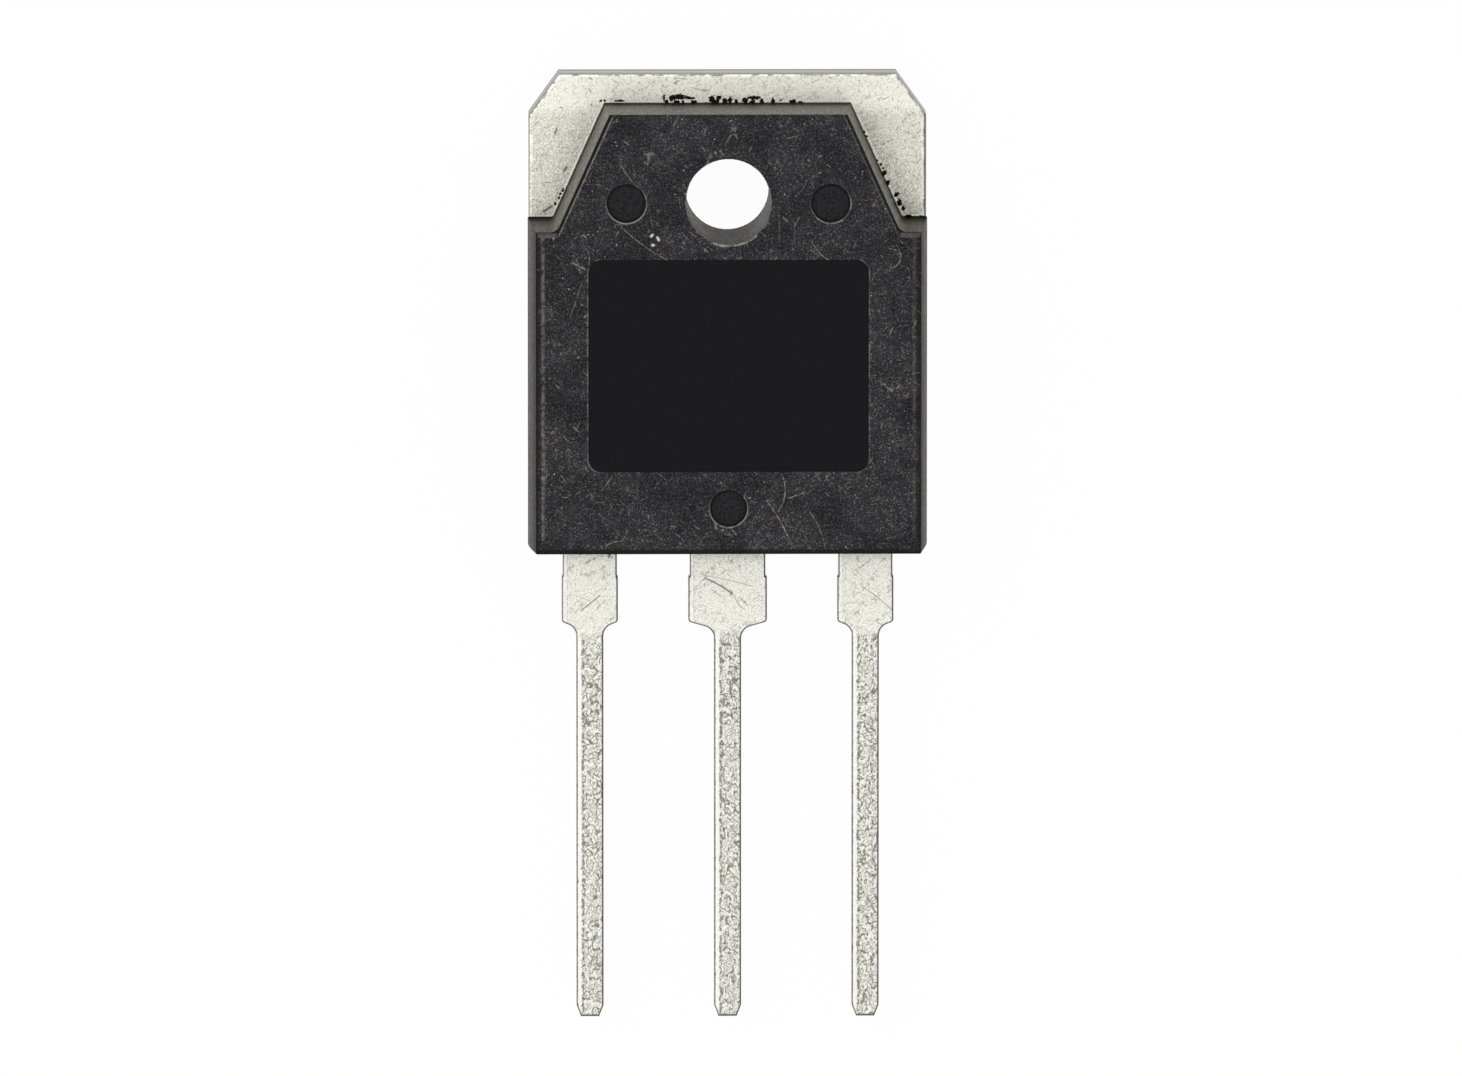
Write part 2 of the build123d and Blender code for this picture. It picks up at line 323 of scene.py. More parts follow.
class Skin(Graph):
    """The tree of a material on the part, with the places and patterns that finishes use."""

    def __init__(self, name: str) -> None:
        """Make the material, and read the place in millimetres and which way the surface faces.

        Args:
            name: The material's name.
        """
        self.material = bpy.data.materials.new(name)
        super().__init__(self.material)
        coordinates = self.add("ShaderNodeTexCoord").outputs["Object"]
        self.place = self.vector("SCALE", coordinates, 1 / MM)
        self.x, self.y, self.z = self.split(self.place)
        self.side, self.along, self.up = self.split(self.add("ShaderNodeNewGeometry").outputs["Normal"])

    def left(self) -> Value:
        """1 left of the part's middle line, 0 right of it."""
        return self.x.rise(0.1, -0.1)

    def steep(self, flattest: float = 0.55, steepest: float = 0.25) -> Value:
        """1 on walls and 0 on level faces, between two values of the normal's Z."""
        return abs(self.up).rise(flattest, steepest)

    def upward(self) -> Value:
        """1 where the surface lies level and faces up."""
        return self.up.rise(0.9, 0.98)

    def split(self, vector: bpy.types.NodeSocket) -> tuple[Value, Value, Value]:
        """The three numbers of a vector."""
        node = self.add("ShaderNodeSeparateXYZ", sockets={0: vector})
        return tuple(Value(self, output) for output in node.outputs)

    def stretched(self, factors: tuple[float, float, float], turn: float = 0.0) -> bpy.types.NodeSocket:
        """The place, turned about Z and then stretched.

        Args:
            factors: What each axis is multiplied by.
            turn: The turn in degrees.

        Returns:
            The new place.
        """
        turned = self.add(
            "ShaderNodeVectorRotate",
            {"rotation_type": "Z_AXIS"},
            {"Vector": self.place, "Angle": math.radians(turn)},
        ).outputs[0]
        return self.vector("MULTIPLY", turned, factors)

    def grain(self, per_mm: float, detail: float = 3.0, roughness: float = 0.6, seed: float = 0.0,
              place: bpy.types.NodeSocket | None = None) -> Value:
        """Soft random grain.

        Args:
            per_mm: Its largest features in a millimetre.
            detail: Octaves of finer grain.
            roughness: How strong the finer ones are.
            seed: Another number gives another pattern.
            place: Where it is read, if not at the plain place.

        Returns:
            Grain from 0 to 1, mostly near 0.5.
        """
        node = self.add(
            "ShaderNodeTexNoise",
            {"noise_dimensions": "4D"},
            {"Vector": place or self.place, "W": seed, "Scale": per_mm, "Detail": detail,
             "Roughness": roughness},
        )
        return Value(self, node.outputs[0])

    def dots(self, per_mm: float, radius: float, share: float, seed: float = 0.0) -> Value:
        """Small scattered dots.

        Args:
            per_mm: Cells in a millimetre, each with room for one dot.
            radius: The largest dot's radius in millimetres.
            share: The share of the cells that hold one.
            seed: Another number gives another pattern.

        Returns:
            A mask.
        """
        cells = self.add(
            "ShaderNodeTexVoronoi",
            {"voronoi_dimensions": "4D"},
            {"Vector": self.place, "W": seed, "Scale": per_mm},
        )
        distance = Value(self, cells.outputs["Distance"])
        chance, size, _ = self.split(cells.outputs["Color"])
        edge = (size * 0.7 + 0.3) * (radius * per_mm)
        return (edge - distance).rise(0.0, 0.4 * radius * per_mm) * chance.rise(share, share * 0.98)

    def contours(self, per_mm: float, width: float, seed: float = 0.0) -> Value:
        """Thin curled lines: a pattern's contour lines.

        Args:
            per_mm: Features of the pattern in a millimetre.
            width: Width of a line, in the pattern's own height.
            seed: Another number gives another pattern.

        Returns:
            A mask.
        """
        return self.grain(per_mm, detail=0.0, roughness=0.5, seed=seed).near(0.5, width)

    def hairs(self, per_mm: float, width: float, cover: float, seed: float = 0.0) -> Value:
        """Thin curved scratches, as short pieces of a pattern's contour lines.

        Args:
            per_mm: Features of the pattern in a millimetre.
            width: Width of a hair, in the pattern's own height.
            cover: How much of the surface has them, from 0 to 1.
            seed: Another number gives another pattern.

        Returns:
            A mask.
        """
        bound = 0.68 - cover * 0.3
        pieces = self.grain(per_mm * 1.4, detail=1.0, roughness=0.5, seed=seed + 7.0)
        return self.contours(per_mm, width, seed) * pieces.rise(bound, bound + 0.06)

    def streaks(self, turn: float, share: float, seed: float = 0.0) -> Value:
        """Short straight scratches that all run one way.

        Args:
            turn: The way across them, in degrees from the X axis.
            share: How much of the surface has them, from 0 to 1.
            seed: Another number gives another pattern.

        Returns:
            A mask.
        """
        place = self.stretched((15.0, 1.2, 1.2), turn)
        bound = 0.8 - share * 0.3
        strokes = self.grain(1.0, detail=0.0, roughness=0.5, seed=seed, place=place)
        return strokes.rise(bound, bound + 0.07)

    def scratches(self, marks: tuple[Scratch, ...]) -> Value:
        """Scratches at chosen places.

        Args:
            marks: The scratches.

        Returns:
            One mask for all of them.
        """
        return reduce(Value.most, [self.scratch(mark) * mark.strength.value for mark in marks])

    def scratch(self, mark: Scratch) -> Value:
        """The mask of one scratch.

        Args:
            mark: The scratch.

        Returns:
            A mask.
        """
        first, last = Vector((*mark.start, 0.0)), Vector((*mark.end, 0.0))
        way, half = (last - first).normalized(), (last - first).length / 2
        middle = (first + last) / 2
        across = Vector((-way.y, way.x, 0.0))
        along = self.number("DOT_PRODUCT", self.place, way) - middle.dot(way)
        aside = self.number("DOT_PRODUCT", self.place, across) - middle.dot(across)
        if mark.bow:
            aside = aside - mark.bow + along * along * (mark.bow / half ** 2)
        return aside.near(0.0, mark.half_width) * abs(along).rise(half + mark.half_width, half)

    def relief(self, height: Term, depth: float, under: bpy.types.NodeSocket | None = None
               ) -> bpy.types.NodeSocket:
        """A bump.

        Args:
            height: The height, from 0 to 1.
            depth: What a height of 1 is, in millimetres.
            under: The normal of a coarser relief below it.

        Returns:
            The normal.
        """
        sockets = {"Strength": 1.0, "Distance": depth * MM, "Height": height}
        if under is not None:
            sockets["Normal"] = under
        return self.add("ShaderNodeBump", sockets=sockets).outputs[0]

    def surface(self, colour: "Value | Colour", roughness: Term, **others: object) -> bpy.types.Material:
        """Close the tree with one Principled shader.

        Args:
            colour: The base colour.
            roughness: The roughness.
            others: Further sockets, with underscores for the spaces in their names.

        Returns:
            The material.
        """
        sockets = {"Base Color": colour, "Roughness": roughness}
        sockets.update({name.replace("_", " "): value for name, value in others.items()})
        self.finish(self.add("ShaderNodeBsdfPrincipled", sockets=sockets))
        return self.material


# ====================================================================== shapes read from the part
def points_of(node: str, level: float | None = None) -> list[Vector]:
    """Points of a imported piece.

    Args:
        node: The piece's name.
        level: The one height above the back plane that counts, in millimetres, or None for all.

    Returns:
        The points, in millimetres.
    """
    points = (vertex.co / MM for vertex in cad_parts[node].data.vertices)
    return [point for point in points if level is None or abs(point.z - level) <= SAME_LEVEL]


def span(numbers: list[float]) -> tuple[float, float]:
    """The middle of some numbers, and how far they reach to either side of it."""
    low, high = min(numbers), max(numbers)
    return (low + high) / 2, (high - low) / 2


def inside_edge(skin: Skin, low: Place, high: Place) -> Value:
    """Distance inside a slanted edge and its mirror image, taken as if they had no end.

    Args:
        skin: The material's tree.
        low: The edge's lower end, on the side where X is above 0.
        high: Its upper end.

    Returns:
        The distance in millimetres, below zero outside.
    """
    run = Vector(low) - Vector(high)
    inward = Vector((run.y, -run.x)).normalized()
    offset = inward.dot(Vector(high))
    return abs(skin.x) * inward.x + skin.y * inward.y - offset


@dataclass(frozen=True)
class BodyOutline:
    """The moulding's outline at one height: a rectangle, and a trapezoid that narrows to the top.

    Attributes:
        half_width: Half the width of the rectangle.
        foot: Y of its edge on the lead side.
        shoulder: Y of its edge beside the trapezoid.
        slant_foot: Lower end of the right slanted edge.
        slant_top: Upper end of it.
        overlap: How far the trapezoid reaches down into the rectangle.
    """

    half_width: float
    foot: float
    shoulder: float
    slant_foot: Place
    slant_top: Place
    overlap: float = 1.0

    @classmethod
    def at(cls, level: float) -> "BodyOutline":
        """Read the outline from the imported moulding.

        Args:
            level: The height above the back plane, in millimetres.

        Returns:
            The outline there.
        """
        beside, clear = 0.05, 0.5
        points = points_of("moulded_body", level)
        half_width = max(point.x for point in points)
        foot = min(point.y for point in points)
        top = max(point.y for point in points)
        shoulder = max(point.y for point in points if point.x > half_width - beside)
        half_top = max(point.x for point in points if abs(point.y - top) < SAME_LEVEL)
        below = (point for point in points if point.x > half_top + clear and point.y < top - clear)
        slant_foot = max(below, key=lambda point: point.y)
        return cls(half_width, foot, shoulder, (slant_foot.x, slant_foot.y), (half_top, top))

    def slant(self, skin: Skin) -> Value:
        """Distance inside the slanted walls, taken as if they had no end."""
        return inside_edge(skin, self.slant_foot, self.slant_top)

    def inside(self, skin: Skin) -> Value:
        """Distance inside the outline in millimetres, below zero outside it.

        Args:
            skin: The material's tree.

        Returns:
            The distance, below zero outside.
        """
        sides = self.half_width - abs(skin.x)
        rectangle = sides.least(self.shoulder - skin.y).least(skin.y - self.foot)
        trapezoid = self.slant(skin).least(self.slant_top[1] - skin.y)
        return rectangle.most(trapezoid.least(skin.y - (self.shoulder - self.overlap)))


@dataclass(frozen=True)
class PlateOutline:
    """Outline of the ears: a rectangle with two cut corners.

    Attributes:
        half_width: Half the width.
        top: Y of the tab edge.
        half_top: Half the width of the tab edge.
        corner: Y where the cut corners start.
    """

    half_width: float
    top: float
    half_top: float
    corner: float

    @classmethod
    def read(cls) -> "PlateOutline":
        """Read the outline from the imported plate.

        Returns:
            The outline.
        """
        points = [point for point in points_of("collector_frame") if point.y > 0]
        half_width = max(point.x for point in points)
        top = max(point.y for point in points)
        half_top = max(point.x for point in points if abs(point.y - top) < SAME_EDGE)
        corner = max(point.y for point in points if abs(point.x - half_width) < SAME_EDGE)
        return cls(half_width, top, half_top, corner)

    def cut(self, skin: Skin) -> Value:
        """Distance inside the cut corners."""
        return inside_edge(skin, (self.half_width, self.corner), (self.half_top, self.top))


@dataclass(frozen=True)
class RoundMark:
    """A round mark or hole that is seen from above.

    Attributes:
        centre: Its middle.
        radius: Its radius.
    """

    centre: Place
    radius: float

    @classmethod
    def around(cls, points: list[Vector]) -> "RoundMark":
        """The circle that points lie on.

        Args:
            points: Points of its edge, in millimetres.

        Returns:
            The round mark.
        """
        x, radius = span([point.x for point in points])
        y, _ = span([point.y for point in points])
        return cls((x, y), radius)

    def outside(self, skin: Skin) -> Value:
        """Distance outside the circle, below zero inside it.

        Args:
            skin: The material's tree.

        Returns:
            The distance, below zero inside.
        """
        flat = skin.vector("MULTIPLY", skin.place, (1.0, 1.0, 0.0))
        reach = skin.vector("SUBTRACT", flat, (*self.centre, 0.0))
        return skin.number("LENGTH", reach) - self.radius

    def towards(self, skin: Skin, way: Place) -> Value:
        """How far round the circle a place is towards a direction, from -1 to 1."""
        return ((skin.x - self.centre[0]) * way[0] + (skin.y - self.centre[1]) * way[1]) / self.radius


@dataclass(frozen=True)
class Panel:
    """The smooth marking panel on the face.

    Attributes:
        middle: Y of its middle.
        half_width: Half its width.
        half_height: Half its height.
        corner: Radius of its corners.
    """

    middle: float
    half_width: float
    half_height: float
    corner: float = 0.5

    def outside(self, skin: Skin) -> Value:
        """Distance outside the panel's rounded outline, below zero inside it.

        Args:
            skin: The material's tree.

        Returns:
            The distance, below zero inside.
        """
        across = abs(skin.x) - (self.half_width - self.corner)
        upright = abs(skin.y - self.middle) - (self.half_height - self.corner)
        reach = skin.add("ShaderNodeCombineXYZ", sockets={0: across.most(0.0), 1: upright.most(0.0)})
        return skin.number("LENGTH", reach.outputs[0]) + across.most(upright).least(0.0) - self.corner


# ====================================================================== finishes
@dataclass(frozen=True)
class MouldingCompound:
    """Black epoxy compound: finely grained and scuffed on the face, paler on its walls.

    Attributes:
        face: Outline of the marked face.
        parting_level: Height where the walls start, beside the ears.
        face_level: Height of the marked face.
        hole: The screw hole at the face.
        marks: The round marks in the face.
        panel: The marking panel.
        dark: The compound between its grains.
        light: The grains.
        scuff_and_highlight: Scuffed compound, and painted highlight on the face's rims and round the
            marks.
        glint: A chip that catches the light.
        wall: The walls.
        wall_dark: Dark grains in them.
        wall_lit: Painted light on the walls, higher up on those that face the tab end, and on the screw
            hole's wall.
        black_and_shade: Black film and seams, and painted shade on edges, in corners and inside
            recesses.
        corner_shade: Painted shade in the corner between wall and tin.
        smooth: The panel.
        pressed: Grains in the panel, and the floors of the round marks.
        pressed_light: Grains in those.
        roughness: Roughness of the compound.
        specular: Specular level of the compound.
        sheen_roughness: Roughness of the shiny skin on the walls.
        lump_depth: Depth of the soft unevenness.
        grain_depth: Depth of the grain.
        scratches: The clearest scratches.
        glints: The brightest chips.
    """

    face: BodyOutline
    parting_level: float
    face_level: float
    hole: RoundMark
    marks: tuple[RoundMark, ...]
    panel: Panel
    dark: Colour = srgb(25, 25, 27)
    light: Colour = srgb(58, 57, 61)
    scuff_and_highlight: Colour = srgb(158, 154, 143)
    glint: Colour = srgb(222, 219, 209)
    wall: Colour = srgb(66, 63, 56)
    wall_dark: Colour = srgb(44, 42, 38)
    wall_lit: Colour = srgb(88, 84, 72)
    black_and_shade: Colour = srgb(24, 24, 25)
    corner_shade: Colour = srgb(6, 6, 6)
    smooth: Colour = srgb(20, 20, 22)
    pressed: Colour = srgb(26, 26, 28)
    pressed_light: Colour = srgb(44, 44, 46)
    roughness: float = 0.62
    specular: float = 0.05
    sheen_roughness: float = 0.4
    lump_depth: float = 0.006
    grain_depth: float = 0.004
    scratches: tuple[Scratch, ...] = (
        Scratch((-4.25, 1.5), (-3.5, 0.5), bow=-0.05, half_width=0.03),
        Scratch((-4.2, -1.0), (-2.2, -2.4), bow=-0.1, half_width=0.03),
        Scratch((-5.6, 0.7), (-4.7, 0.5), bow=0.1, strength=Strength.FAINT),
        Scratch((2.0, -0.5), (2.0, -1.5), half_width=0.03, strength=Strength.FAINT),
        Scratch((2.6, -0.8), (2.6, -1.7), half_width=0.025, strength=Strength.FAINT),
        Scratch((3.25, -1.5), (3.95, -2.3), bow=-0.1, half_width=0.03, strength=Strength.BRIGHT),
        Scratch((-5.7, -1.7), (-5.5, -2.45), bow=0.1),
        Scratch((-6.15, -2.4), (-5.65, -2.65), half_width=0.06),
        Scratch((-5.95, -2.35), (-5.85, -2.8)),
        Scratch((-5.75, -3.1), (-6.25, -4.6), strength=Strength.FAINT),
        Scratch((1.5, -11.85), (2.4, -13.4), bow=0.05, half_width=0.03, strength=Strength.BRIGHT),
        Scratch((3.2, -12.3), (3.8, -13.75), bow=0.1, half_width=0.03),
        Scratch((2.1, -10.8), (1.95, -12.3), bow=0.2, half_width=0.03, strength=Strength.BRIGHT),
        Scratch((2.4, -11.75), (3.05, -11.5), half_width=0.03, strength=Strength.BRIGHT),
        Scratch((6.6, -1.7), (6.35, -2.7), bow=0.3),
        Scratch((6.65, -2.5), (7.05, -3.2), bow=0.3, strength=Strength.FAINT),
        Scratch((-6.6, -10.85), (-6.4, -11.1)),
        Scratch((-5.0, -11.45), (-4.6, -10.9)),
        Scratch((-6.65, -11.6), (-6.25, -11.6), bow=-0.12),
        Scratch((-4.85, -13.65), (-4.2, -13.45), bow=0.05),
        Scratch((0.0, -12.85), (0.3, -13.2), half_width=0.05),
    )
    glints: tuple[Scratch, ...] = (
        Scratch((-3.05, -1.35), (-3.0, -1.3), half_width=0.08),
        Scratch((-2.8, -1.4), (-2.75, -1.5), half_width=0.08),
        Scratch((-3.0, -1.7), (-2.95, -1.7), half_width=0.08),
        Scratch((-0.25, -1.75), (-0.2, -1.75), half_width=0.05, strength=Strength.FAINT),
    )

    def build(self) -> bpy.types.Material:
        """Make the material.

        Returns:
            The material.
        """
        skin = Skin("moulding_compound")
        plain = self.colour_grain(skin)
        colour = self.colour_face(skin, plain)
        colour = self.colour_rims(skin, colour)
        colour = self.colour_marks(skin, colour)
        colour = self.colour_walls(skin, colour)
        colour = self.colour_hole(skin, colour)
        colour = skin.mix(skin.up.rise(-0.6, -0.9), colour, plain)
        lumps = skin.grain(3.0, detail=2.0, roughness=0.5, seed=4.0)
        grain = skin.grain(14.0, detail=2.0, roughness=0.6, seed=5.0)
        normal = skin.relief(grain, self.grain_depth, skin.relief(lumps, self.lump_depth))
        return skin.surface(colour, self.roughness, Specular_IOR_Level=self.specular, Normal=normal,
                            Coat_Weight=self.sheen(skin), Coat_Roughness=self.sheen_roughness)

    def height(self, skin: Skin) -> Value:
        """How far up a wall a place is: 0 at the parting plane, 1 at the marked face."""
        return (skin.z - self.parting_level) / (self.face_level - self.parting_level)

    def tabward(self, skin: Skin) -> Value:
        """Where the surface faces the tab end."""
        return skin.along.rise(0.15, 0.35)

    def above_shoulder(self, skin: Skin) -> Value:
        """Where the body is a trapezoid, clear of the shoulders."""
        return skin.y.rise(self.face.shoulder - 0.2, self.face.shoulder + 0.6)

    def wall_grain(self, skin: Skin, seed: float) -> Value:
        """Grain on the walls, drawn out over their height."""
        drawn = skin.stretched((8.0, 8.0, 2.0))
        return skin.grain(1.0, detail=1.0, roughness=0.6, seed=seed, place=drawn).rise(0.38, 0.62)

    def worn_through(self, skin: Skin) -> Value:
        """Where a scratch marks the grain, and where it skips over it."""
        return skin.grain(6.0, detail=1.0, roughness=0.7, seed=7.0).rise(0.42, 0.58)

    def sheen(self, skin: Skin) -> Value:
        """The skin that the steep walls of the mould left: it shines when seen along the wall.

        Args:
            skin: The material's tree.

        Returns:
            The coat's weight.
        """
        height, tabward, clear = self.height(skin), self.tabward(skin), self.above_shoulder(skin)
        grain = self.wall_grain(skin, 23.0) * 0.6 + 0.7
        cloud = skin.grain(2.5, detail=1.0, roughness=0.6, seed=24.0).rise(0.4, 0.6)
        grain = grain * (cloud * 0.15 + 0.92)
        foot = skin.along.rise(0.5, 0.8) * 0.2 + (1 - clear) * 0.4 + 0.16
        rising = (height / foot).most(0.0).least(1.0) * (height.rise(0.1, 0.75) * 0.45 + 0.55)
        rising = rising * height.rise(0.1, 0.22)
        walls = rising * tabward * (clear * 0.24 + 0.3) * (1 + skin.side.rise(0.2, 0.6) * 0.3)
        walls = walls + (1 - tabward) * (1 - height.rise(0.3, 0.95) * 0.7) * 0.28
        hole = skin.z.rise(0.05, 0.3) * (abs(skin.side).rise(0.2, 0.95) * 0.16 + 0.17)
        inner = self.hole.outside(skin).rise(0.05, -0.01)
        return (walls + (hole - walls) * inner) * skin.steep() * grain

    def colour_grain(self, skin: Skin) -> Value:
        """The compound itself: fine grain, flecks, short scratches and hairs.

        Args:
            skin: The material's tree.

        Returns:
            The colour.
        """
        grain = skin.grain(16.0, detail=1.0, roughness=0.6, seed=1.0).rise(0.41, 0.61)
        cloud = skin.grain(0.7, detail=2.0, roughness=0.6, seed=2.0).rise(0.35, 0.65)
        colour = skin.mix(grain * 0.65 + cloud * 0.35, self.dark, self.light)
        broken = self.worn_through(skin)
        flecks = skin.grain(17.0, detail=0.0, roughness=0.5, seed=6.0).rise(0.63, 0.72)
        flecks = flecks * (cloud * 0.6 + 0.4) * 0.36
        specks = skin.dots(6.5, radius=0.04, share=0.6, seed=1.0)
        bright = skin.dots(1.5, radius=0.06, share=0.6, seed=2.0)
        curls = skin.contours(2.6, width=0.04, seed=8.0) * broken * cloud * 0.14
        hairs = skin.hairs(0.8, width=0.012, cover=0.3, seed=3.0) * broken * 0.5
        streaks = skin.streaks(25.0, share=0.15, seed=10.0)
        streaks = streaks.most(skin.streaks(-50.0, share=0.2, seed=11.0))
        streaks = streaks.most(skin.streaks(80.0, share=0.1, seed=15.0)) * broken * 0.5
        worn = flecks.most(specks).most(bright).most(hairs).most(streaks).most(curls)
        return skin.mix(worn, colour, self.scuff_and_highlight)

    def colour_face(self, skin: Skin, colour: Value) -> Value:
        """The chosen scratches and bright chips on the marked face.

        Args:
            skin: The material's tree.
            colour: The colour so far.

        Returns:
            The colour with them on it.
        """
        chosen = skin.scratches(self.scratches) * (self.worn_through(skin) * 0.7 + 0.3)
        colour = skin.mix(chosen * 0.85, colour, self.scuff_and_highlight)
        return skin.mix(skin.scratches(self.glints) * 1.3, colour, self.glint)

    def colour_rims(self, skin: Skin, colour: Value) -> Value:
        """The band of painted shade on the face's rounded edge, and the worn line beside it, with a
        painted highlight that is stronger on the left.

        Args:
            skin: The material's tree.
            colour: The colour so far.

        Returns:
            The colour with them on it.
        """
        broken = skin.grain(4.0, detail=3.0, roughness=0.8, seed=9.0).rise(0.36, 0.6)
        low = skin.y.rise(self.face.shoulder + 0.05, self.face.shoulder - 0.15)
        side = self.face.half_width - abs(skin.x)
        slant = self.face.slant(skin)
        # Painted shade on the rounded edge of the face, heaviest at the foot and on the left slant.
        band = side.rise(0.16, 0.08) * low * 0.45
        band = band.most((skin.y - self.face.foot).rise(0.15, 0.06) * 0.85)
        left = skin.left()
        band = band.most(slant.rise(0.03, 0.0) * (1 - low) * (left * 0.35 + 0.5))
        colour = skin.mix(band, colour, self.black_and_shade)
        # The worn line beside it, brightened by a painted highlight on the left.
        clear = skin.y.rise(self.face.foot + 0.3, self.face.foot + 0.7)
        worn = side.near(0.2, 0.12) * low * clear * broken * (left * 0.22 + 0.12)
        worn = worn.most(slant.near(0.06, 0.045) * (1 - low) * (broken * 0.8 + 0.2) * (left * 0.4 + 0.2))
        step = (self.face.shoulder - skin.y).within(-0.05, 0.1, 0.04) * side.rise(0.8, 0.7)
        worn = worn.most(step * (broken * 0.5 + 0.5) * 0.25)
        return skin.mix(worn, colour, self.scuff_and_highlight)

    def colour_marks(self, skin: Skin, colour: Value) -> Value:
        """The marking panel with a thin worn line at its sides, and the round marks, each with a painted
        highlight round its rim, brightest on the lower side, and painted shade just inside it.

        Args:
            skin: The material's tree.
            colour: The colour so far.

        Returns:
            The colour with them on it.
        """
        outside = self.panel.outside(skin)
        broken = skin.grain(2.4, detail=2.0, roughness=0.7, seed=12.0).rise(0.36, 0.6)
        aside = abs(skin.x).rise(self.panel.half_width - 0.6, self.panel.half_width - 0.2)
        colour = skin.mix(outside.near(0.05, 0.04) * broken * aside * 0.35, colour, self.scuff_and_highlight)
        grain = skin.grain(16.0, detail=1.0, roughness=0.5, seed=13.0)
        panel = skin.mix(grain, self.smooth, self.pressed)
        colour = skin.mix(outside.rise(0.03, 0.01), colour, panel)
        mottled = skin.grain(10.0, detail=2.0, roughness=0.7, seed=14.0).rise(0.35, 0.65)
        for mark in self.marks:
            outside = mark.outside(skin)
            # A painted highlight round the rim, brightest on its lower side.
            lower = mark.towards(skin, (0.25, -0.97)).rise(-0.9, 0.9)
            line = outside.near(0.03, 0.045) * (lower * 0.65 + 0.05) * (broken * 0.75 + 0.25)
            colour = skin.mix(line, colour, self.scuff_and_highlight)
            # The recess, with painted shade just inside its rim.
            recess = skin.mix(mottled, self.pressed, self.pressed_light)
            recess = skin.mix(outside.rise(-0.11, -0.04), recess, self.black_and_shade)
            colour = skin.mix(outside.rise(0.01, -0.02), colour, recess)
        return colour

    def colour_walls(self, skin: Skin, colour: Value) -> Value:
        """The drafted walls, speckled all over: painted shade beside the tin, painted light towards the
        face on the walls that face the tab end, and painted shade towards the face on the others.

        Args:
            skin: The material's tree.
            colour: The colour so far.

        Returns:
            The colour with the walls in place.
        """
        height, tabward = self.height(skin), self.tabward(skin)
        # Speckled compound, lightened towards the face by painted light on the walls that face the tab
        # end.
        grain = self.wall_grain(skin, 21.0)
        patch = skin.grain(2.5, detail=2.0, roughness=0.6, seed=22.0).rise(0.4, 0.6)
        wall = skin.mix(grain * 0.6 + patch * 0.35, self.wall, self.wall_dark)
        wall = skin.mix(skin.dots(4.0, radius=0.06, share=0.4, seed=25.0) * 0.5, wall, self.scuff_and_highlight)
        clear = self.above_shoulder(skin) * 0.7 + 0.3
        lifted = height.rise(0.1, 0.75) * tabward * clear
        wall = skin.mix(lifted * (grain * 0.5 + 0.5), wall, self.wall_lit)
        # Painted shade: black up the foot of the walls that face the tab end, darkest in the corner with
        # the tin, and black rising towards the face on the low side and foot walls. Then the dark seam
        # at the parting line.
        foot = skin.along.rise(0.5, 0.8) * 0.2 + (1 - clear) * 0.55 + 0.16
        seam = skin.z.near(self.parting_level + 0.1, 0.25) * (1 - tabward)
        wall = skin.layers(
            wall,
            ((1 - height / foot).most(0.0) * tabward, self.black_and_shade),
            (height.rise(0.26, 0.14) * tabward * 0.95, self.corner_shade),
            (height.rise(0.05, 0.9) * (1 - tabward) * 0.75, self.black_and_shade),
            (seam * (grain * 0.3 + 0.6), self.black_and_shade),
        )
        colour = skin.mix(skin.steep(), colour, wall)
        # The thin flat film at the parting plane, in black, and painted shade on the rounded edge of the
        # face, weaker where it faces the tab end, the sides and the right.
        film = skin.z.rise(self.parting_level + 0.3, self.parting_level + 0.2) * skin.up.rise(0.3, 0.5)
        colour = skin.mix(film, colour, self.black_and_shade)
        edge = skin.up.within(0.35, 0.95, 0.04)
        edge = edge * skin.z.rise(self.face_level - 0.2, self.face_level - 0.12)
        edge = edge * (1 - tabward * abs(skin.side).rise(0.25, 0.1) * 0.8)
        edge = edge * (1 - abs(skin.side).rise(0.6, 0.8) * 0.55) * (1 - skin.side.rise(0.2, 0.4) * 0.35)
        return skin.mix(edge, colour, self.black_and_shade)

    def colour_hole(self, skin: Skin, colour: Value) -> Value:
        """The wall of the screw hole, with painted light on it and painted shade at its bottom, and
        paler broken patches on the lower side of the rim round it.

        Args:
            skin: The material's tree.
            colour: The colour so far.

        Returns:
            The colour with them in place.
        """
        outside = self.hole.outside(skin)
        grain = skin.grain(10.0, detail=2.0, roughness=0.8, seed=31.0).rise(0.38, 0.62)
        # Painted light on the hole's wall, most where it faces the sides, and painted shade at its
        # bottom.
        wall = skin.layers(
            self.wall,
            (grain * 0.3 + 0.4, self.wall_lit),
            (abs(skin.side).rise(0.2, 0.95) * 0.8, self.wall_lit),
            (skin.z.rise(0.3, 0.05), self.black_and_shade),
        )
        inner = outside.rise(0.05, -0.01) * skin.steep(0.6, 0.3)
        colour = skin.mix(inner, colour, wall)
        # Paler broken patches on the lower side of the rim.
        broken = skin.grain(2.0, detail=3.0, roughness=0.7, seed=33.0).rise(0.45, 0.6)
        lower = self.hole.towards(skin, (0.2, -0.98)).rise(0.2, 1.0)
        rim = outside.within(-0.01, 0.05, 0.03) * skin.upward()
        return skin.mix(rim * lower * broken * 0.8, colour, self.scuff_and_highlight)


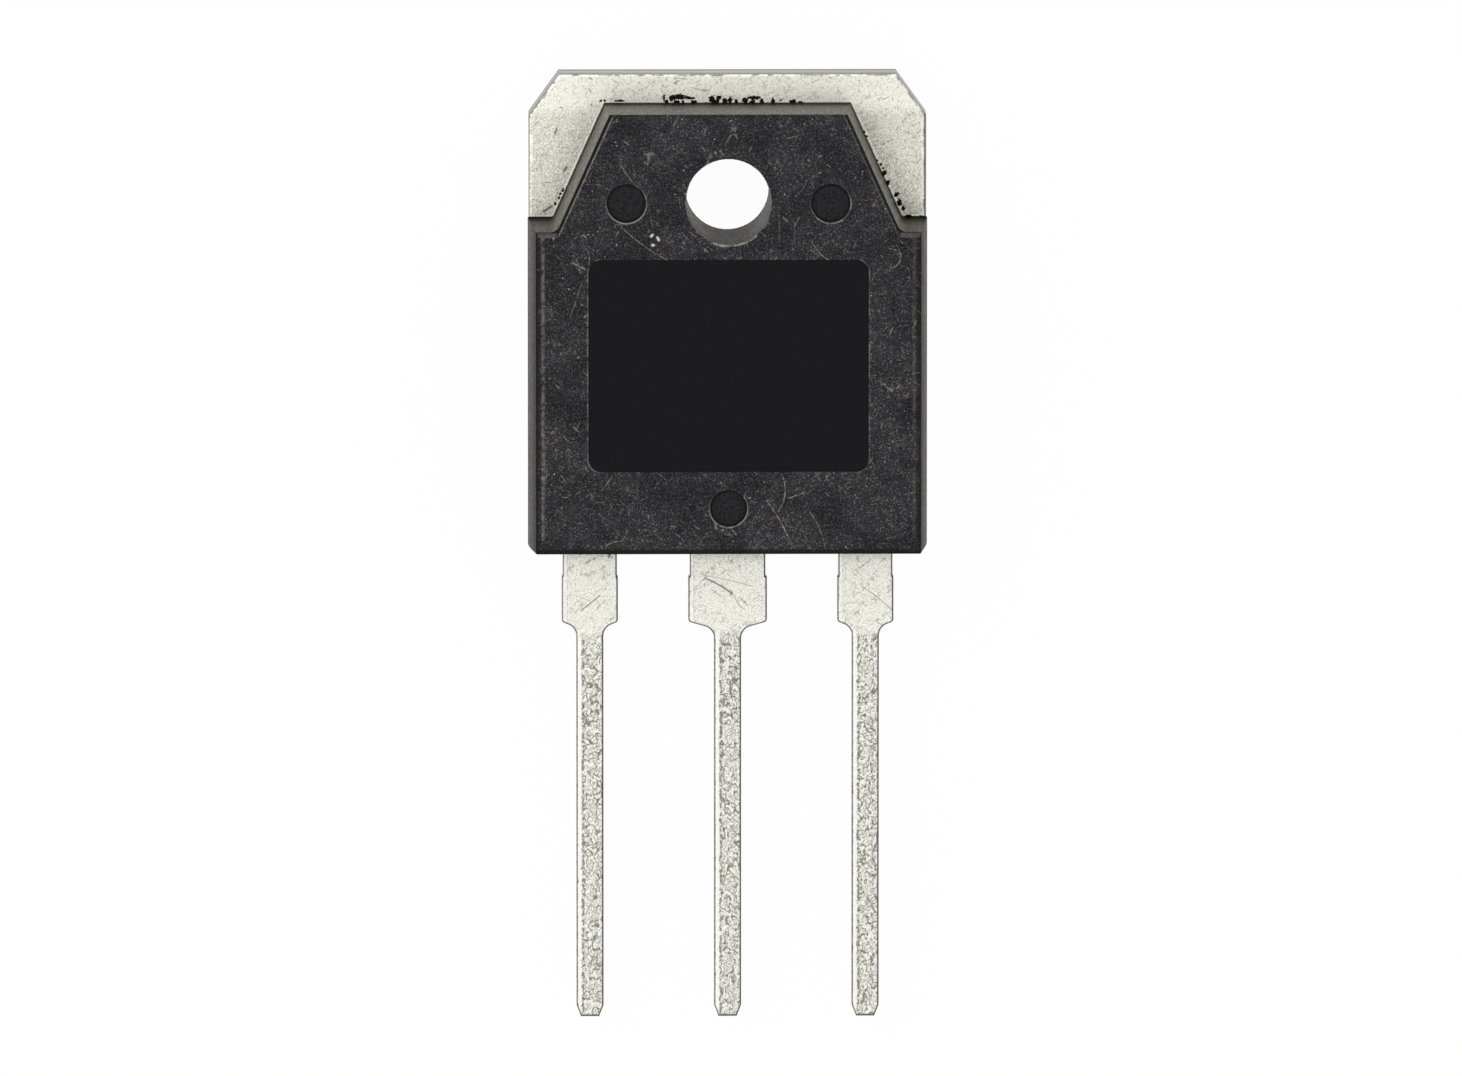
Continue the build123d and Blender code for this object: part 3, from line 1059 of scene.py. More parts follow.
@dataclass(frozen=True)
class TinnedCopper:
    """Matte tin plating: mottled on the ears, smooth on the wide leads and rough on the pins.

    Attributes:
        plate: Outline of the ears.
        parting: Outline of the moulding at the ears' front face.
        plate_level: Height of the ears' front face.
        lead_foot: Y where the leads leave the moulding.
        shoulder: Y where the pins start.
        tip: Y of the pins' ends.
        pitch: Distance between leads.
        pin_half_width: Half the width of a pin.
        side_half_width: Half the width of an outer lead.
        wide_half_width: Half the width of the centre lead.
        white: Painted highlight on rolled edges, ridges and the left sides of the leads.
        cream: Clean tin.
        grey: Greyed tin; on the right ear some of it is painted shade.
        edge: Painted shade on the rim of the rolled edges, and the darker tone of the plate's wall.
        shade: The dark side of a ridge.
        dark: Scratches, and painted shade on the rolled edges of the ears and the leads.
        black_and_shade: Pits, and the black line along the moulding, widened by painted shade below the
            shoulders.
        ear_dull: The ears between their marks.
        ear_bright: Their marks.
        tab_dull: The same at the tab edge.
        tab_bright: Its marks.
        lead_dull: The wide leads between their marks.
        lead_bright: Their marks.
        pin_dull: The pins between their worms of solder.
        pin_bright: Their worms.
        tab_from: Y where the tab edge's tint starts.
        tab_to: Y where it is complete.
        roughness: Roughness of the tin.
        lump_depth: Depth of the lumps, most on the pins.
        flow_depth: Depth of the fine flow marks.
        scratches: The clearest scratches.
        pits: The clearest pits and chips.
    """

    plate: PlateOutline
    parting: BodyOutline
    plate_level: float
    lead_foot: float
    shoulder: float
    tip: float
    pitch: float
    pin_half_width: float
    side_half_width: float
    wide_half_width: float
    white: Colour = srgb(253, 252, 248)
    cream: Colour = srgb(255, 253, 240)
    grey: Colour = srgb(184, 180, 170)
    edge: Colour = srgb(150, 147, 140)
    shade: Colour = srgb(128, 124, 112)
    dark: Colour = srgb(92, 89, 82)
    black_and_shade: Colour = srgb(24, 24, 25)
    ear_dull: Colour = srgb(200, 196, 180)
    ear_bright: Colour = srgb(255, 254, 242)
    tab_dull: Colour = srgb(232, 228, 213)
    tab_bright: Colour = srgb(255, 255, 246)
    lead_dull: Colour = srgb(231, 228, 213)
    lead_bright: Colour = srgb(255, 255, 250)
    pin_dull: Colour = srgb(180, 176, 163)
    pin_bright: Colour = srgb(255, 255, 248)
    tab_from: float = 2.9
    tab_to: float = 3.6
    roughness: float = 0.42
    lump_depth: float = 0.03
    flow_depth: float = 0.006
    scratches: tuple[Scratch, ...] = (
        Scratch((-0.9, -15.2), (1.0, -15.65), bow=0.03, half_width=0.03),
        Scratch((-0.8, -15.35), (0.2, -15.95), bow=0.04, half_width=0.06, strength=Strength.BRIGHT),
        Scratch((0.25, -16.0), (0.65, -16.55), bow=-0.05, half_width=0.03),
        Scratch((-0.65, -15.75), (-0.25, -16.05)),
        Scratch((0.5, -16.1), (0.8, -16.4)),
        Scratch((-5.8, -16.6), (-5.05, -16.0), half_width=0.04, strength=Strength.BRIGHT),
        Scratch((-6.1, -15.95), (-5.45, -16.2), strength=Strength.FAINT),
        Scratch((5.3, -15.65), (6.5, -16.6), bow=0.05),
        Scratch((-0.2, -17.95), (0.05, -17.95), half_width=0.08, strength=Strength.BRIGHT),
        Scratch((-0.35, -19.4), (0.1, -19.35)),
        Scratch((0.1, -19.45), (0.1, -19.95), bow=0.02, half_width=0.06, strength=Strength.BRIGHT),
        Scratch((-1.35, 4.15), (-0.85, 4.05), bow=-0.02),
        Scratch((-2.1, 4.55), (-1.7, 4.5)),
        Scratch((-7.2, 0.4), (-7.0, 0.4), half_width=0.05),
    )
    pits: tuple[Scratch, ...] = (
        Scratch((-6.45, 0.85), (-6.35, 1.0), half_width=0.07, strength=Strength.BRIGHT),
        Scratch((-6.75, 2.55), (-6.8, 2.35), half_width=0.06, strength=Strength.BRIGHT),
        Scratch((-7.25, -0.75), (-6.95, -0.55), half_width=0.08, strength=Strength.BRIGHT),
        Scratch((-5.45, 4.55), (-5.35, 4.5), half_width=0.06),
        Scratch((-5.45, 4.1), (-5.4, 4.0), half_width=0.06),
        Scratch((-6.6, 3.4), (-6.5, 3.35), half_width=0.05),
        Scratch((-5.3, -14.55), (-5.25, -14.5), half_width=0.07),
        Scratch((-4.7, -14.45), (-4.65, -14.35), half_width=0.08, strength=Strength.BRIGHT),
    )

    def build(self) -> bpy.types.Material:
        """Make the material.

        Returns:
            The material.
        """
        skin = Skin("tinned_copper")
        on_ears = skin.y.rise(self.lead_foot, 0.0)
        colour = skin.mix(on_ears, self.colour_leads(skin), self.colour_ears(skin))
        colour = skin.mix(skin.scratches(self.scratches) * 0.85, colour, self.dark)
        colour = skin.mix(skin.scratches(self.pits) * 0.85, colour, self.black_and_shade)
        lumps = skin.grain(5.0, detail=3.0, roughness=0.65, seed=54.0)
        flow = skin.grain(9.0, detail=2.0, roughness=0.6, seed=55.0)
        rough = skin.y.rise(self.shoulder + 0.3, self.shoulder - 0.3)
        normal = skin.relief(lumps * (rough * 0.8 + 0.2), self.lump_depth)
        normal = skin.relief(flow, self.flow_depth, normal)
        return skin.surface(colour, self.roughness, Metallic=1.0, Normal=normal)

    def colour_ears(self, skin: Skin) -> Value:
        """The bare ears: flowing fine marks, greyer places near the slanted walls, more grey on the
        right ear as painted shade, ridges in painted highlight and shade, and their edges.

        Args:
            skin: The material's tree.

        Returns:
            The colour.
        """
        flowing = skin.stretched((20.0, 11.0, 1.0), turn=30.0)
        flow = skin.grain(1.0, detail=2.0, roughness=0.7, seed=41.0, place=flowing).rise(0.38, 0.62)
        cloud = skin.grain(0.8, detail=2.0, roughness=0.5, seed=43.0).rise(0.42, 0.62)
        fine = skin.grain(16.0, detail=0.0, roughness=0.5, seed=37.0).rise(0.42, 0.58)
        tab = skin.y.rise(self.tab_from, self.tab_to)
        dull = skin.mix(tab, self.ear_dull, self.tab_dull)
        bright = skin.mix(tab, self.ear_bright, self.tab_bright)
        colour = skin.mix(flow * 0.4 + fine * 0.6, dull, bright)
        away = -self.parting.inside(skin)
        by_slant = (-self.parting.slant(skin)).rise(1.1, 0.3) * skin.y.rise(3.6, 2.8)
        rightward = skin.x.rise(3.0, 5.0)
        # Greyer places near the slanted walls, and more grey on the right ear as painted shade.
        greyed = (by_slant * 0.4 + 0.2 + rightward * 0.15) * cloud.most(by_slant) * (1 - flow)
        colour = skin.mix(greyed, colour, self.grey)
        colour = skin.mix(tab * 0.58, colour, self.cream)
        broken = skin.grain(5.0, detail=1.0, roughness=0.6, seed=48.0).rise(0.42, 0.56)
        wide = skin.stretched((2.4, 2.0, 2.0), turn=30.0)
        small = skin.stretched((6.0, 4.5, 2.0), turn=30.0)
        # Ridges drawn in painted highlight and shade.
        colour = self.colour_worms(skin, colour, wide, 46.0, broken * 0.4)
        colour = self.colour_worms(skin, colour, small, 49.0, 0.45)
        colour = skin.layers(
            colour,
            (skin.hairs(1.4, width=0.02, cover=0.25, seed=50.0) * broken * 0.6, self.dark),
            (skin.streaks(60.0, share=0.35, seed=36.0) * broken * 0.6, self.dark),
            (skin.dots(4.5, radius=0.05, share=0.4, seed=44.0) * 0.9, self.dark),
        )
        colour = self.colour_ear_edges(skin, colour)
        # A bright line along the moulding, and a black line on the tin at its outline, widened by
        # painted shade below the shoulders.
        reach = rightward * 0.02
        line = away.rise(0.02, 0.04) * (away - reach).rise(0.11, 0.08) * skin.upward()
        colour = skin.mix(line * (broken * 0.4 + 0.6), colour, self.cream)
        shaded = skin.y.rise(self.parting.shoulder + 0.1, self.parting.shoulder + 0.05)
        junction_black = (away.rise(0.06, 0.03) * shaded).most(away.rise(0.02, 0.0)) * skin.up.rise(0.2, 0.4)
        return skin.mix(junction_black, colour, self.black_and_shade)

    def colour_worms(self, skin: Skin, colour: Value, place: bpy.types.NodeSocket, seed: float,
                     share: Term) -> Value:
        """Curled ridges in the tin, each drawn as a line of painted highlight beside a line of painted
        shade.

        Args:
            skin: The material.
            colour: The colour under them.
            place: Where the ridges' pattern is read.
            seed: Another number gives another pattern.
            share: How strong they are, from 0 to 1.

        Returns:
            The colour with the ridges on it.
        """
        ridge = skin.grain(1.0, detail=1.0, roughness=0.5, seed=seed, place=place)
        # Painted highlight on one side of each ridge, painted shade on the other.
        colour = skin.mix(ridge.near(0.53, 0.03) * share, colour, self.white)
        return skin.mix(ridge.near(0.475, 0.03) * share, colour, self.shade)

    def colour_ear_edges(self, skin: Skin, colour: Value) -> Value:
        """The rolled edges: a grey wall, a grey rim and broken lines of painted shade on the roll, and
        painted highlight just inside, with more painted shade on the right ear's side.

        Args:
            skin: The material's tree.
            colour: The colour so far.

        Returns:
            The colour with them on it.
        """
        top = (self.plate.top - skin.y).least(self.plate.cut(skin))
        side = self.plate.half_width - abs(skin.x)
        left = skin.left()
        wander = (skin.grain(3.0, detail=2.0, roughness=0.7, seed=45.0) - 0.5) * 0.2
        patches = skin.grain(0.8, detail=2.0, roughness=0.6, seed=47.0).rise(0.46, 0.54)
        broken = skin.grain(2.5, detail=2.0, roughness=0.7, seed=40.0).rise(0.4, 0.55)
        patches = patches * skin.y.within(1.4, 2.8, 0.3)
        right = 1 - left
        # Painted highlight just inside the rolled edges, in patches on the left ear's side, and a grey
        # rim and broken lines of painted shade on the roll, more of it on the right ear's side.
        colour = skin.layers(
            colour,
            ((top + wander).within(0.04, 0.12, 0.02) * (broken * 0.6 + 0.1), self.white),
            ((side + wander).within(0.04, 0.16, 0.02) * patches * left, self.white),
            (top.least(side).rise(0.05, 0.02), self.edge),
            ((top + wander * 0.4).near(0.07, 0.06) * (1 - broken) * 0.8, self.dark),
            (side.rise(0.11, 0.06) * right, self.shade),
            ((side + wander * 0.5).near(0.08, 0.05) * (1 - broken) * right, self.dark),
            ((side + wander).within(0.12, 0.2, 0.02) * broken * right * 0.7, self.white),
        )
        wall = skin.mix(skin.z.near(self.plate_level / 2, self.plate_level / 2), self.edge, self.grey)
        wall = skin.mix(skin.z.rise(0.6, 0.35) * 0.85, wall, self.shade)
        return skin.mix(skin.steep(0.45, 0.25), colour, wall)

    def colour_leads(self, skin: Skin) -> Value:
        """The leads: smooth where they are wide, wormed with solder where they are narrow.

        Args:
            skin: The material's tree.

        Returns:
            The colour.
        """
        wander = (skin.grain(1.5, detail=1.0, roughness=0.5, seed=53.0) - 0.5) * 0.8
        below = (skin.y + wander).rise(self.shoulder + 0.1, self.shoulder - 0.5)
        colour = skin.mix(below, self.colour_wide(skin), self.colour_narrow(skin))
        # Painted shade on the rolled edges, most on the right, on the leads' sides and at their tips.
        rolled = skin.up.rise(0.985, 0.84)
        return skin.layers(
            colour,
            (rolled * (-skin.side).rise(0.1, 0.4) * 0.7, self.dark),
            (rolled * skin.side.rise(0.1, 0.4), self.dark),
            (rolled * (-skin.along).rise(0.1, 0.4) * 0.9, self.dark),
            (skin.steep(0.5, 0.2) * 0.5, self.dark),
            (skin.y.rise(self.tip + 0.12, self.tip + 0.05) * 0.8, self.dark),
        )

    def offset(self, skin: Skin) -> Value:
        """How far a place is to the right of its lead's middle line."""
        return skin.x - skin.math("ROUND", skin.x / self.pitch) * self.pitch

    def colour_wide(self, skin: Skin) -> Value:
        """The wide part of a lead: pale, finely speckled, with a few dark hairs, ridges in painted
        highlight and shade, and a strip of painted highlight along its left edge.

        Args:
            skin: The material's tree.

        Returns:
            The colour.
        """
        soft = skin.grain(14.0, detail=1.0, roughness=0.7, seed=51.0).rise(0.42, 0.58)
        colour = skin.mix(soft, self.lead_dull, self.lead_bright)
        colour = skin.mix(skin.y.rise(self.lead_foot - 0.5, self.lead_foot) * 0.4, colour, self.grey)
        colour = self.colour_worms(skin, colour, skin.stretched((4.5, 4.5, 3.0)), 61.0, 0.3)
        broken = skin.grain(4.0, detail=2.0, roughness=0.7, seed=63.0).rise(0.42, 0.6)
        colour = skin.layers(
            colour,
            (skin.hairs(1.1, width=0.03, cover=0.35, seed=64.0) * broken * 0.5, self.dark),
            (skin.dots(3.5, radius=0.07, share=0.4, seed=56.0) * 0.9, self.dark),
            (skin.streaks(50.0, share=0.4, seed=66.0) * broken * 0.7, self.dark),
        )
        # A strip of painted highlight along each lead's left edge, with a broken line of painted shade
        # inside it.
        aside = abs(skin.x).rise(self.pitch / 2, self.pitch / 2 - 0.1)
        width = aside * (self.wide_half_width - self.side_half_width) + self.side_half_width
        wander = (skin.grain(3.0, detail=2.0, roughness=0.7, seed=68.0) - 0.5) * 0.1
        inward = self.offset(skin) + width + wander
        bare = skin.y.rise(self.lead_foot + 0.1, self.lead_foot)
        strip = inward.within(0.1, 0.19, 0.02) * (broken * 0.5 + 0.5) * bare
        border = inward.near(0.22, 0.03) * (1 - broken) * bare * 0.4
        colour = skin.layers(colour, (strip, self.white), (border, self.shade))
        return self.colour_worms(skin, colour, skin.stretched((1.8, 1.8, 1.8)), 65.0, broken * 0.5)

    def colour_narrow(self, skin: Skin) -> Value:
        """A pin: worms of solder drawn in painted highlight and shade, a strip of painted highlight
        along its left side with a broken border of painted shade, and dotted painted shade near its
        right side.

        Args:
            skin: The material's tree.

        Returns:
            The colour.
        """
        lumpy = skin.stretched((13.0, 9.0, 4.0), turn=15.0)
        lump = skin.grain(1.0, detail=2.0, roughness=0.7, seed=52.0, place=lumpy).rise(0.38, 0.62)
        colour = skin.mix(lump, self.pin_dull, self.pin_bright)
        broken = skin.grain(4.0, detail=1.0, roughness=0.6, seed=60.0).rise(0.4, 0.56)
        small = skin.stretched((3.4, 2.4, 3.0), turn=15.0)
        wide = skin.stretched((2.0, 1.5, 2.0), turn=-20.0)
        colour = self.colour_worms(skin, colour, small, 57.0, 1.0)
        colour = self.colour_worms(skin, colour, wide, 58.0, broken)
        offset = self.offset(skin)
        wander = (skin.grain(4.0, detail=2.0, roughness=0.7, seed=59.0) - 0.5) * 0.2
        inward = offset + self.pin_half_width + wander
        beaded = skin.stretched((2.0, 7.0, 2.0))
        dotted = skin.grain(1.0, detail=0.0, roughness=0.5, seed=67.0, place=beaded).rise(0.45, 0.55)
        outward = self.pin_half_width - offset + wander
        # Dotted painted shade inside the left strip and near the right side, then the strip of painted
        # highlight along the left side.
        return skin.layers(
            colour,
            (inward.near(0.27, 0.07) * (dotted * 0.8 + 0.1), self.shade),
            (outward.near(0.26, 0.07) * dotted * 0.5, self.shade),
            (inward.within(0.06, 0.19, 0.02), self.white),
        )


@dataclass(frozen=True)
class Silicon:
    """The polished die, with its aluminium metal and the dark passivated rim.

    Attributes:
        centre: Its middle.
        half_size: Half its width.
        top: Height of its top.
        rim_width: Width of the rim.
        stripe_pitch: Distance between the stripes of metal, times two.
        bare: Silicon.
        bare_light: The lighter grain in it.
        rim: The passivated rim.
        metal: The metal.
        roughness: Roughness of the die.
        metal_depth: Thickness of the metal.
    """

    centre: Place
    half_size: float
    top: float
    rim_width: float = 0.3
    stripe_pitch: float = 0.45
    bare: Colour = srgb(84, 86, 98)
    bare_light: Colour = srgb(96, 98, 110)
    rim: Colour = srgb(62, 58, 88)
    metal: Colour = srgb(206, 206, 208)
    roughness: float = 0.28
    metal_depth: float = 0.004

    def build(self) -> bpy.types.Material:
        """Make the material.

        Returns:
            The material.
        """
        skin = Skin("silicon")
        across = self.half_size - abs(skin.x - self.centre[0])
        inside = across.least(self.half_size - abs(skin.y - self.centre[1]))
        wander = (skin.grain(1.0, detail=0.0, roughness=0.5, seed=61.0) - 0.5) * 0.05
        turn = (skin.x - self.centre[0] + wander) * (2 * math.pi / self.stripe_pitch)
        stripes = abs(skin.math("SINE", turn)).rise(0.25, 0.35)
        on_top = skin.z.rise(self.top - 0.02, self.top - 0.005)
        metal = stripes * inside.rise(self.rim_width, self.rim_width + 0.04) * on_top
        grain = skin.grain(20.0, detail=2.0, roughness=0.5, seed=62.0)
        colour = skin.mix(grain, self.bare, self.bare_light)
        colour = skin.mix(inside.rise(self.rim_width, self.rim_width - 0.04), colour, self.rim)
        colour = skin.mix(metal, colour, self.metal)
        normal = skin.relief(metal, self.metal_depth)
        return skin.surface(colour, self.roughness, Metallic=metal * 0.9, Normal=normal)


@dataclass(frozen=True)
class Solder:
    """The grey layer of solder under the die, with a rippled fillet.

    Attributes:
        dull: The hollows.
        bright: The ripples.
        ripple_depth: Depth of the ripples.
    """

    dull: Colour = srgb(172, 173, 172)
    bright: Colour = srgb(204, 204, 200)
    ripple_depth: float = 0.02

    def build(self) -> bpy.types.Material:
        """Make the material.

        Returns:
            The material.
        """
        skin = Skin("solder")
        ripple = skin.grain(6.0, detail=3.0, roughness=0.6, seed=71.0)
        colour = skin.mix(ripple.rise(0.35, 0.65), self.dull, self.bright)
        normal = skin.relief(ripple, self.ripple_depth)
        return skin.surface(colour, ripple * 0.2 + 0.3, Metallic=1.0, Normal=normal)


@dataclass(frozen=True)
class AluminiumWire:
    """Drawn aluminium wire: fine lines along it, dulled where the bonding tool pressed it.

    Attributes:
        drawn: The hollows of the drawing lines.
        bright: The lines.
        pressed: Pressed places.
        line_depth: Depth of the lines.
    """

    drawn: Colour = srgb(212, 213, 215)
    bright: Colour = srgb(236, 237, 239)
    pressed: Colour = srgb(180, 181, 184)
    line_depth: float = 0.004

    def build(self) -> bpy.types.Material:
        """Make the material.

        Returns:
            The material.
        """
        skin = Skin("aluminium_wire")
        drawn = skin.stretched((34.0, 3.0, 34.0), turn=45.0)
        lines = skin.grain(1.0, detail=3.0, roughness=0.7, seed=81.0, place=drawn)
        pressed = skin.grain(10.0, detail=2.0, roughness=0.6, seed=82.0)
        colour = skin.mix(lines.rise(0.3, 0.7), self.drawn, self.bright)
        colour = skin.mix(pressed.rise(0.6, 0.75) * 0.4, colour, self.pressed)
        normal = skin.relief(lines, self.line_depth)
        return skin.surface(colour, lines * 0.2 + 0.22, Metallic=1.0, Normal=normal)


# ====================================================================== sub-assemblies
def dress(node: str, material: bpy.types.Material) -> None:
    """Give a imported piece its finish.

    Args:
        node: The piece's name.
        material: The finish.
    """
    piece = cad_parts[node]
    piece.data.materials.clear()
    piece.data.materials.append(material)
    LOG.info("%s wears %s", node, material.name)


@dataclass(frozen=True)
class FlashPatch:
    """A patch of compound that crept over the tin.

    Attributes:
        middle: Its middle.
        half_length: Half its size along X.
        half_reach: Half its size along Y.
    """

    middle: Place
    half_length: float
    half_reach: float

    def cover(self, x: float, y: float) -> float:
        """How far a place is inside the patch: 1 at its middle, 0 at its rim."""
        across, upright = x - self.middle[0], y - self.middle[1]
        return 1.0 - (across / self.half_length) ** 2 - (upright / self.half_reach) ** 2


@dataclass
class Moulding:
    """The moulded body, and the flash that stuck to the ears along its edge.

    Attributes:
        hole_reach: Distance from the axis within which there is nothing but the screw hole.
        panel_reach: Distance from the middle line within which the marking panel lies.
        mark_depth: Depth of the round marks.
        panel_depth: Depth of the marking panel.
        film: Thickness of the flash.
        film_rise: How soon inside its rim it is that thick.
        step: Grid step of its mesh.
        margin: How far past a patch its grid reaches, as a factor.
        ragged: How far noise moves its rim.
        raggedness: Features of that noise in a millimetre.
        stretch: How the noise is drawn out, less than 1 along X.
        shrink: How far its rim is pulled in.
        noise_layer: The slice of the noise that is used.
        patches: Where it is.
        compound: The finish, once build has made it.
    """

    hole_reach: float = 2.0
    panel_reach: float = 6.5
    mark_depth: float = 0.12
    panel_depth: float = 0.02
    film: float = 0.05
    film_rise: float = 1.5
    step: float = 0.02
    margin: float = 1.5
    ragged: float = 0.9
    raggedness: float = 18.0
    stretch: float = 0.75
    shrink: float = 0.25
    noise_layer: float = 0.25
    patches: tuple[FlashPatch, ...] = (
        FlashPatch((-5.0, 3.65), 0.06, 0.04),
        FlashPatch((-4.85, 3.65), 0.04, 0.04),
        FlashPatch((-4.25, 3.65), 0.2, 0.04),
        FlashPatch((-2.5, 3.75), 0.04, 0.12),
        FlashPatch((-2.4, 3.6), 0.1, 0.06),
        FlashPatch((-2.2, 3.7), 0.14, 0.08),
        FlashPatch((-1.95, 3.8), 0.32, 0.12),
        FlashPatch((-2.0, 3.6), 0.12, 0.06),
        FlashPatch((-1.75, 3.6), 0.06, 0.05),
        FlashPatch((-1.5, 3.75), 0.2, 0.05),
        FlashPatch((-1.35, 3.6), 0.12, 0.07),
        FlashPatch((-0.85, 3.55), 0.08, 0.04),
        FlashPatch((-0.6, 3.7), 0.14, 0.16),
        FlashPatch((-0.35, 3.75), 0.1, 0.1),
        FlashPatch((-0.5, 3.6), 0.18, 0.1),
        FlashPatch((-0.1, 3.65), 0.12, 0.1),
        FlashPatch((0.1, 3.65), 0.08, 0.14),
        FlashPatch((0.35, 3.6), 0.07, 0.12),
        FlashPatch((0.7, 3.65), 0.15, 0.1),
        FlashPatch((1.05, 3.75), 0.28, 0.07),
        FlashPatch((1.0, 3.6), 0.15, 0.04),
        FlashPatch((1.35, 3.6), 0.08, 0.14),
        FlashPatch((1.8, 3.6), 0.07, 0.14),
        FlashPatch((2.1, 3.65), 0.06, 0.03),
        FlashPatch((2.6, 3.6), 0.15, 0.08),
        FlashPatch((2.85, 3.55), 0.15, 0.06),
        FlashPatch((5.4, 2.4), 0.05, 0.07),
        FlashPatch((5.5, 2.2), 0.05, 0.05),
        FlashPatch((5.9, 1.25), 0.04, 0.05),
        FlashPatch((6.05, 1.1), 0.05, 0.05),
        FlashPatch((6.15, 0.95), 0.04, 0.05),
        FlashPatch((6.2, 0.75), 0.1, 0.1),
        FlashPatch((6.35, 0.35), 0.08, 0.12),
        FlashPatch((6.7, -0.1), 0.12, 0.1),
        FlashPatch((6.8, -0.4), 0.1, 0.15),
        FlashPatch((6.95, -0.65), 0.08, 0.12),
        FlashPatch((7.15, -0.95), 0.15, 0.05),
        FlashPatch((7.6, -1.0), 0.2, 0.06),
        FlashPatch((-6.5, 0.1), 0.05, 0.07),
        FlashPatch((-6.6, -0.05), 0.05, 0.05),
        FlashPatch((-6.65, -0.2), 0.04, 0.06),
        FlashPatch((-6.8, -0.45), 0.05, 0.06),
    )
    compound: bpy.types.Material | None = field(default=None, init=False)

    def build(self) -> None:
        """Dress the body, then build the flash in the same finish."""
        face_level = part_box("moulded_body")[1].z / MM
        level = self.plate_level()
        finish = MouldingCompound(
            face=BodyOutline.at(face_level),
            parting_level=level,
            face_level=face_level,
            hole=self.find_hole(face_level),
            marks=self.find_marks(face_level - self.mark_depth),
            panel=self.find_panel(face_level - self.panel_depth),
        )
        self.compound = finish.build()
        dress("moulded_body", self.compound)
        self.build_flash(level)

    @staticmethod
    def plate_level() -> float:
        """Height of the ears' front face, where the two halves of the mould part."""
        return max(point.z for point in points_of("collector_frame") if point.y > 0)

    def find_hole(self, level: float) -> RoundMark:
        """The screw hole's rim at the marked face."""
        points = points_of("moulded_body", level)
        return RoundMark.around([point for point in points if point.xy.length < self.hole_reach])

    def find_marks(self, level: float) -> tuple[RoundMark, ...]:
        """The three round marks: left, right and low.

        Args:
            level: The height above the back plane, in millimetres.

        Returns:
            The marks.
        """
        points = [point for point in points_of("moulded_body", level)
                  if point.xy.length > self.hole_reach]
        left = [point for point in points if point.x < -self.hole_reach]
        right = [point for point in points if point.x > self.hole_reach]
        low = [point for point in points if abs(point.x) <= self.hole_reach]
        return tuple(RoundMark.around(group) for group in (left, right, low))

    def find_panel(self, level: float) -> Panel:
        """The marking panel.

        Args:
            level: The height above the back plane, in millimetres.

        Returns:
            The panel.
        """
        points = [point for point in points_of("moulded_body", level)
                  if point.y < -self.hole_reach and abs(point.x) < self.panel_reach]
        middle, half_height = span([point.y for point in points])
        return Panel(middle, max(point.x for point in points), half_height)

    def cover(self, x: float, y: float) -> float:
        """How far a place is inside the flash.

        Args:
            x: The place, in millimetres.
            y: The same.

        Returns:
            A number above 0 inside it.
        """
        best = max(patch.cover(x, y) for patch in self.patches)
        place = Vector((x * self.stretch, y / self.stretch, self.noise_layer)) * self.raggedness
        return best - self.shrink + self.ragged * noise.noise(place)

    def build_flash(self, level: float) -> None:
        """Build the flash as closed films that thin out to nothing at their rims.

        Args:
            level: Height of the ears' front face, in millimetres.
        """
        mesh = bmesh.new()
        for box in self.join_boxes():
            self.grow_film(mesh, box, level)
        data = bpy.data.meshes.new("mould_flash")
        mesh.to_mesh(data)
        mesh.free()
        data.materials.append(self.compound)
        for polygon in data.polygons:
            polygon.use_smooth = True
        piece = bpy.data.objects.new("mould_flash", data)
        bpy.context.scene.collection.objects.link(piece)
        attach(piece, "root")
        LOG.info("mould_flash has %d faces", len(data.polygons))

    def join_boxes(self) -> list[Box]:
        """Grid boxes round the patches, joined where they overlap.

        Returns:
            The boxes, each as its first and last columns and rows.
        """
        boxes: list[Box] = []
        for patch in self.patches:
            x, y = patch.middle
            reach_x, reach_y = patch.half_length * self.margin, patch.half_reach * self.margin
            box = (math.floor((x - reach_x) / self.step), math.ceil((x + reach_x) / self.step),
                   math.floor((y - reach_y) / self.step), math.ceil((y + reach_y) / self.step))
            touching = [other for other in boxes if self.touch(box, other)]
            while touching:
                boxes = [other for other in boxes if other not in touching]
                group = [box, *touching]
                box = (min(one[0] for one in group), max(one[1] for one in group),
                       min(one[2] for one in group), max(one[3] for one in group))
                touching = [other for other in boxes if self.touch(box, other)]
            boxes.append(box)
        return boxes

    @staticmethod
    def touch(first: Box, second: Box) -> bool:
        """Whether two boxes of the grid overlap."""
        columns = first[0] <= second[1] and second[0] <= first[1]
        return columns and first[2] <= second[3] and second[2] <= first[3]

    def grow_film(self, mesh: bmesh.types.BMesh, box: Box, level: float) -> None:
        """Add the film that lies inside one box of the grid.

        Args:
            mesh: The mesh it is added to.
            box: First and last columns and rows.
            level: Height of the ears' front face, in millimetres.
        """
        columns, rows = range(box[0], box[1] + 1), range(box[2], box[3] + 1)
        cover = {key: self.cover(key[0] * self.step, key[1] * self.step)
                 for key in ((column, row) for column in columns for row in rows)}
        tops, backs = {}, {}
        for column in columns[:-1]:
            for row in rows[:-1]:
                keys = ((column, row), (column + 1, row), (column + 1, row + 1), (column, row + 1))
                if max(cover[key] for key in keys) <= 0:
                    continue
                for key in keys:
                    if key in tops:
                        continue
                    x, y = key[0] * self.step * MM, key[1] * self.step * MM
                    height = self.film * math.sqrt(min(1.0, max(0.0, cover[key]) * self.film_rise))
                    backs[key] = mesh.verts.new((x, y, level * MM))
                    raised = mesh.verts.new((x, y, (level + height) * MM)) if height > 0 else None
                    tops[key] = raised or backs[key]
                mesh.faces.new([tops[key] for key in keys])
                mesh.faces.new([backs[key] for key in reversed(keys)])


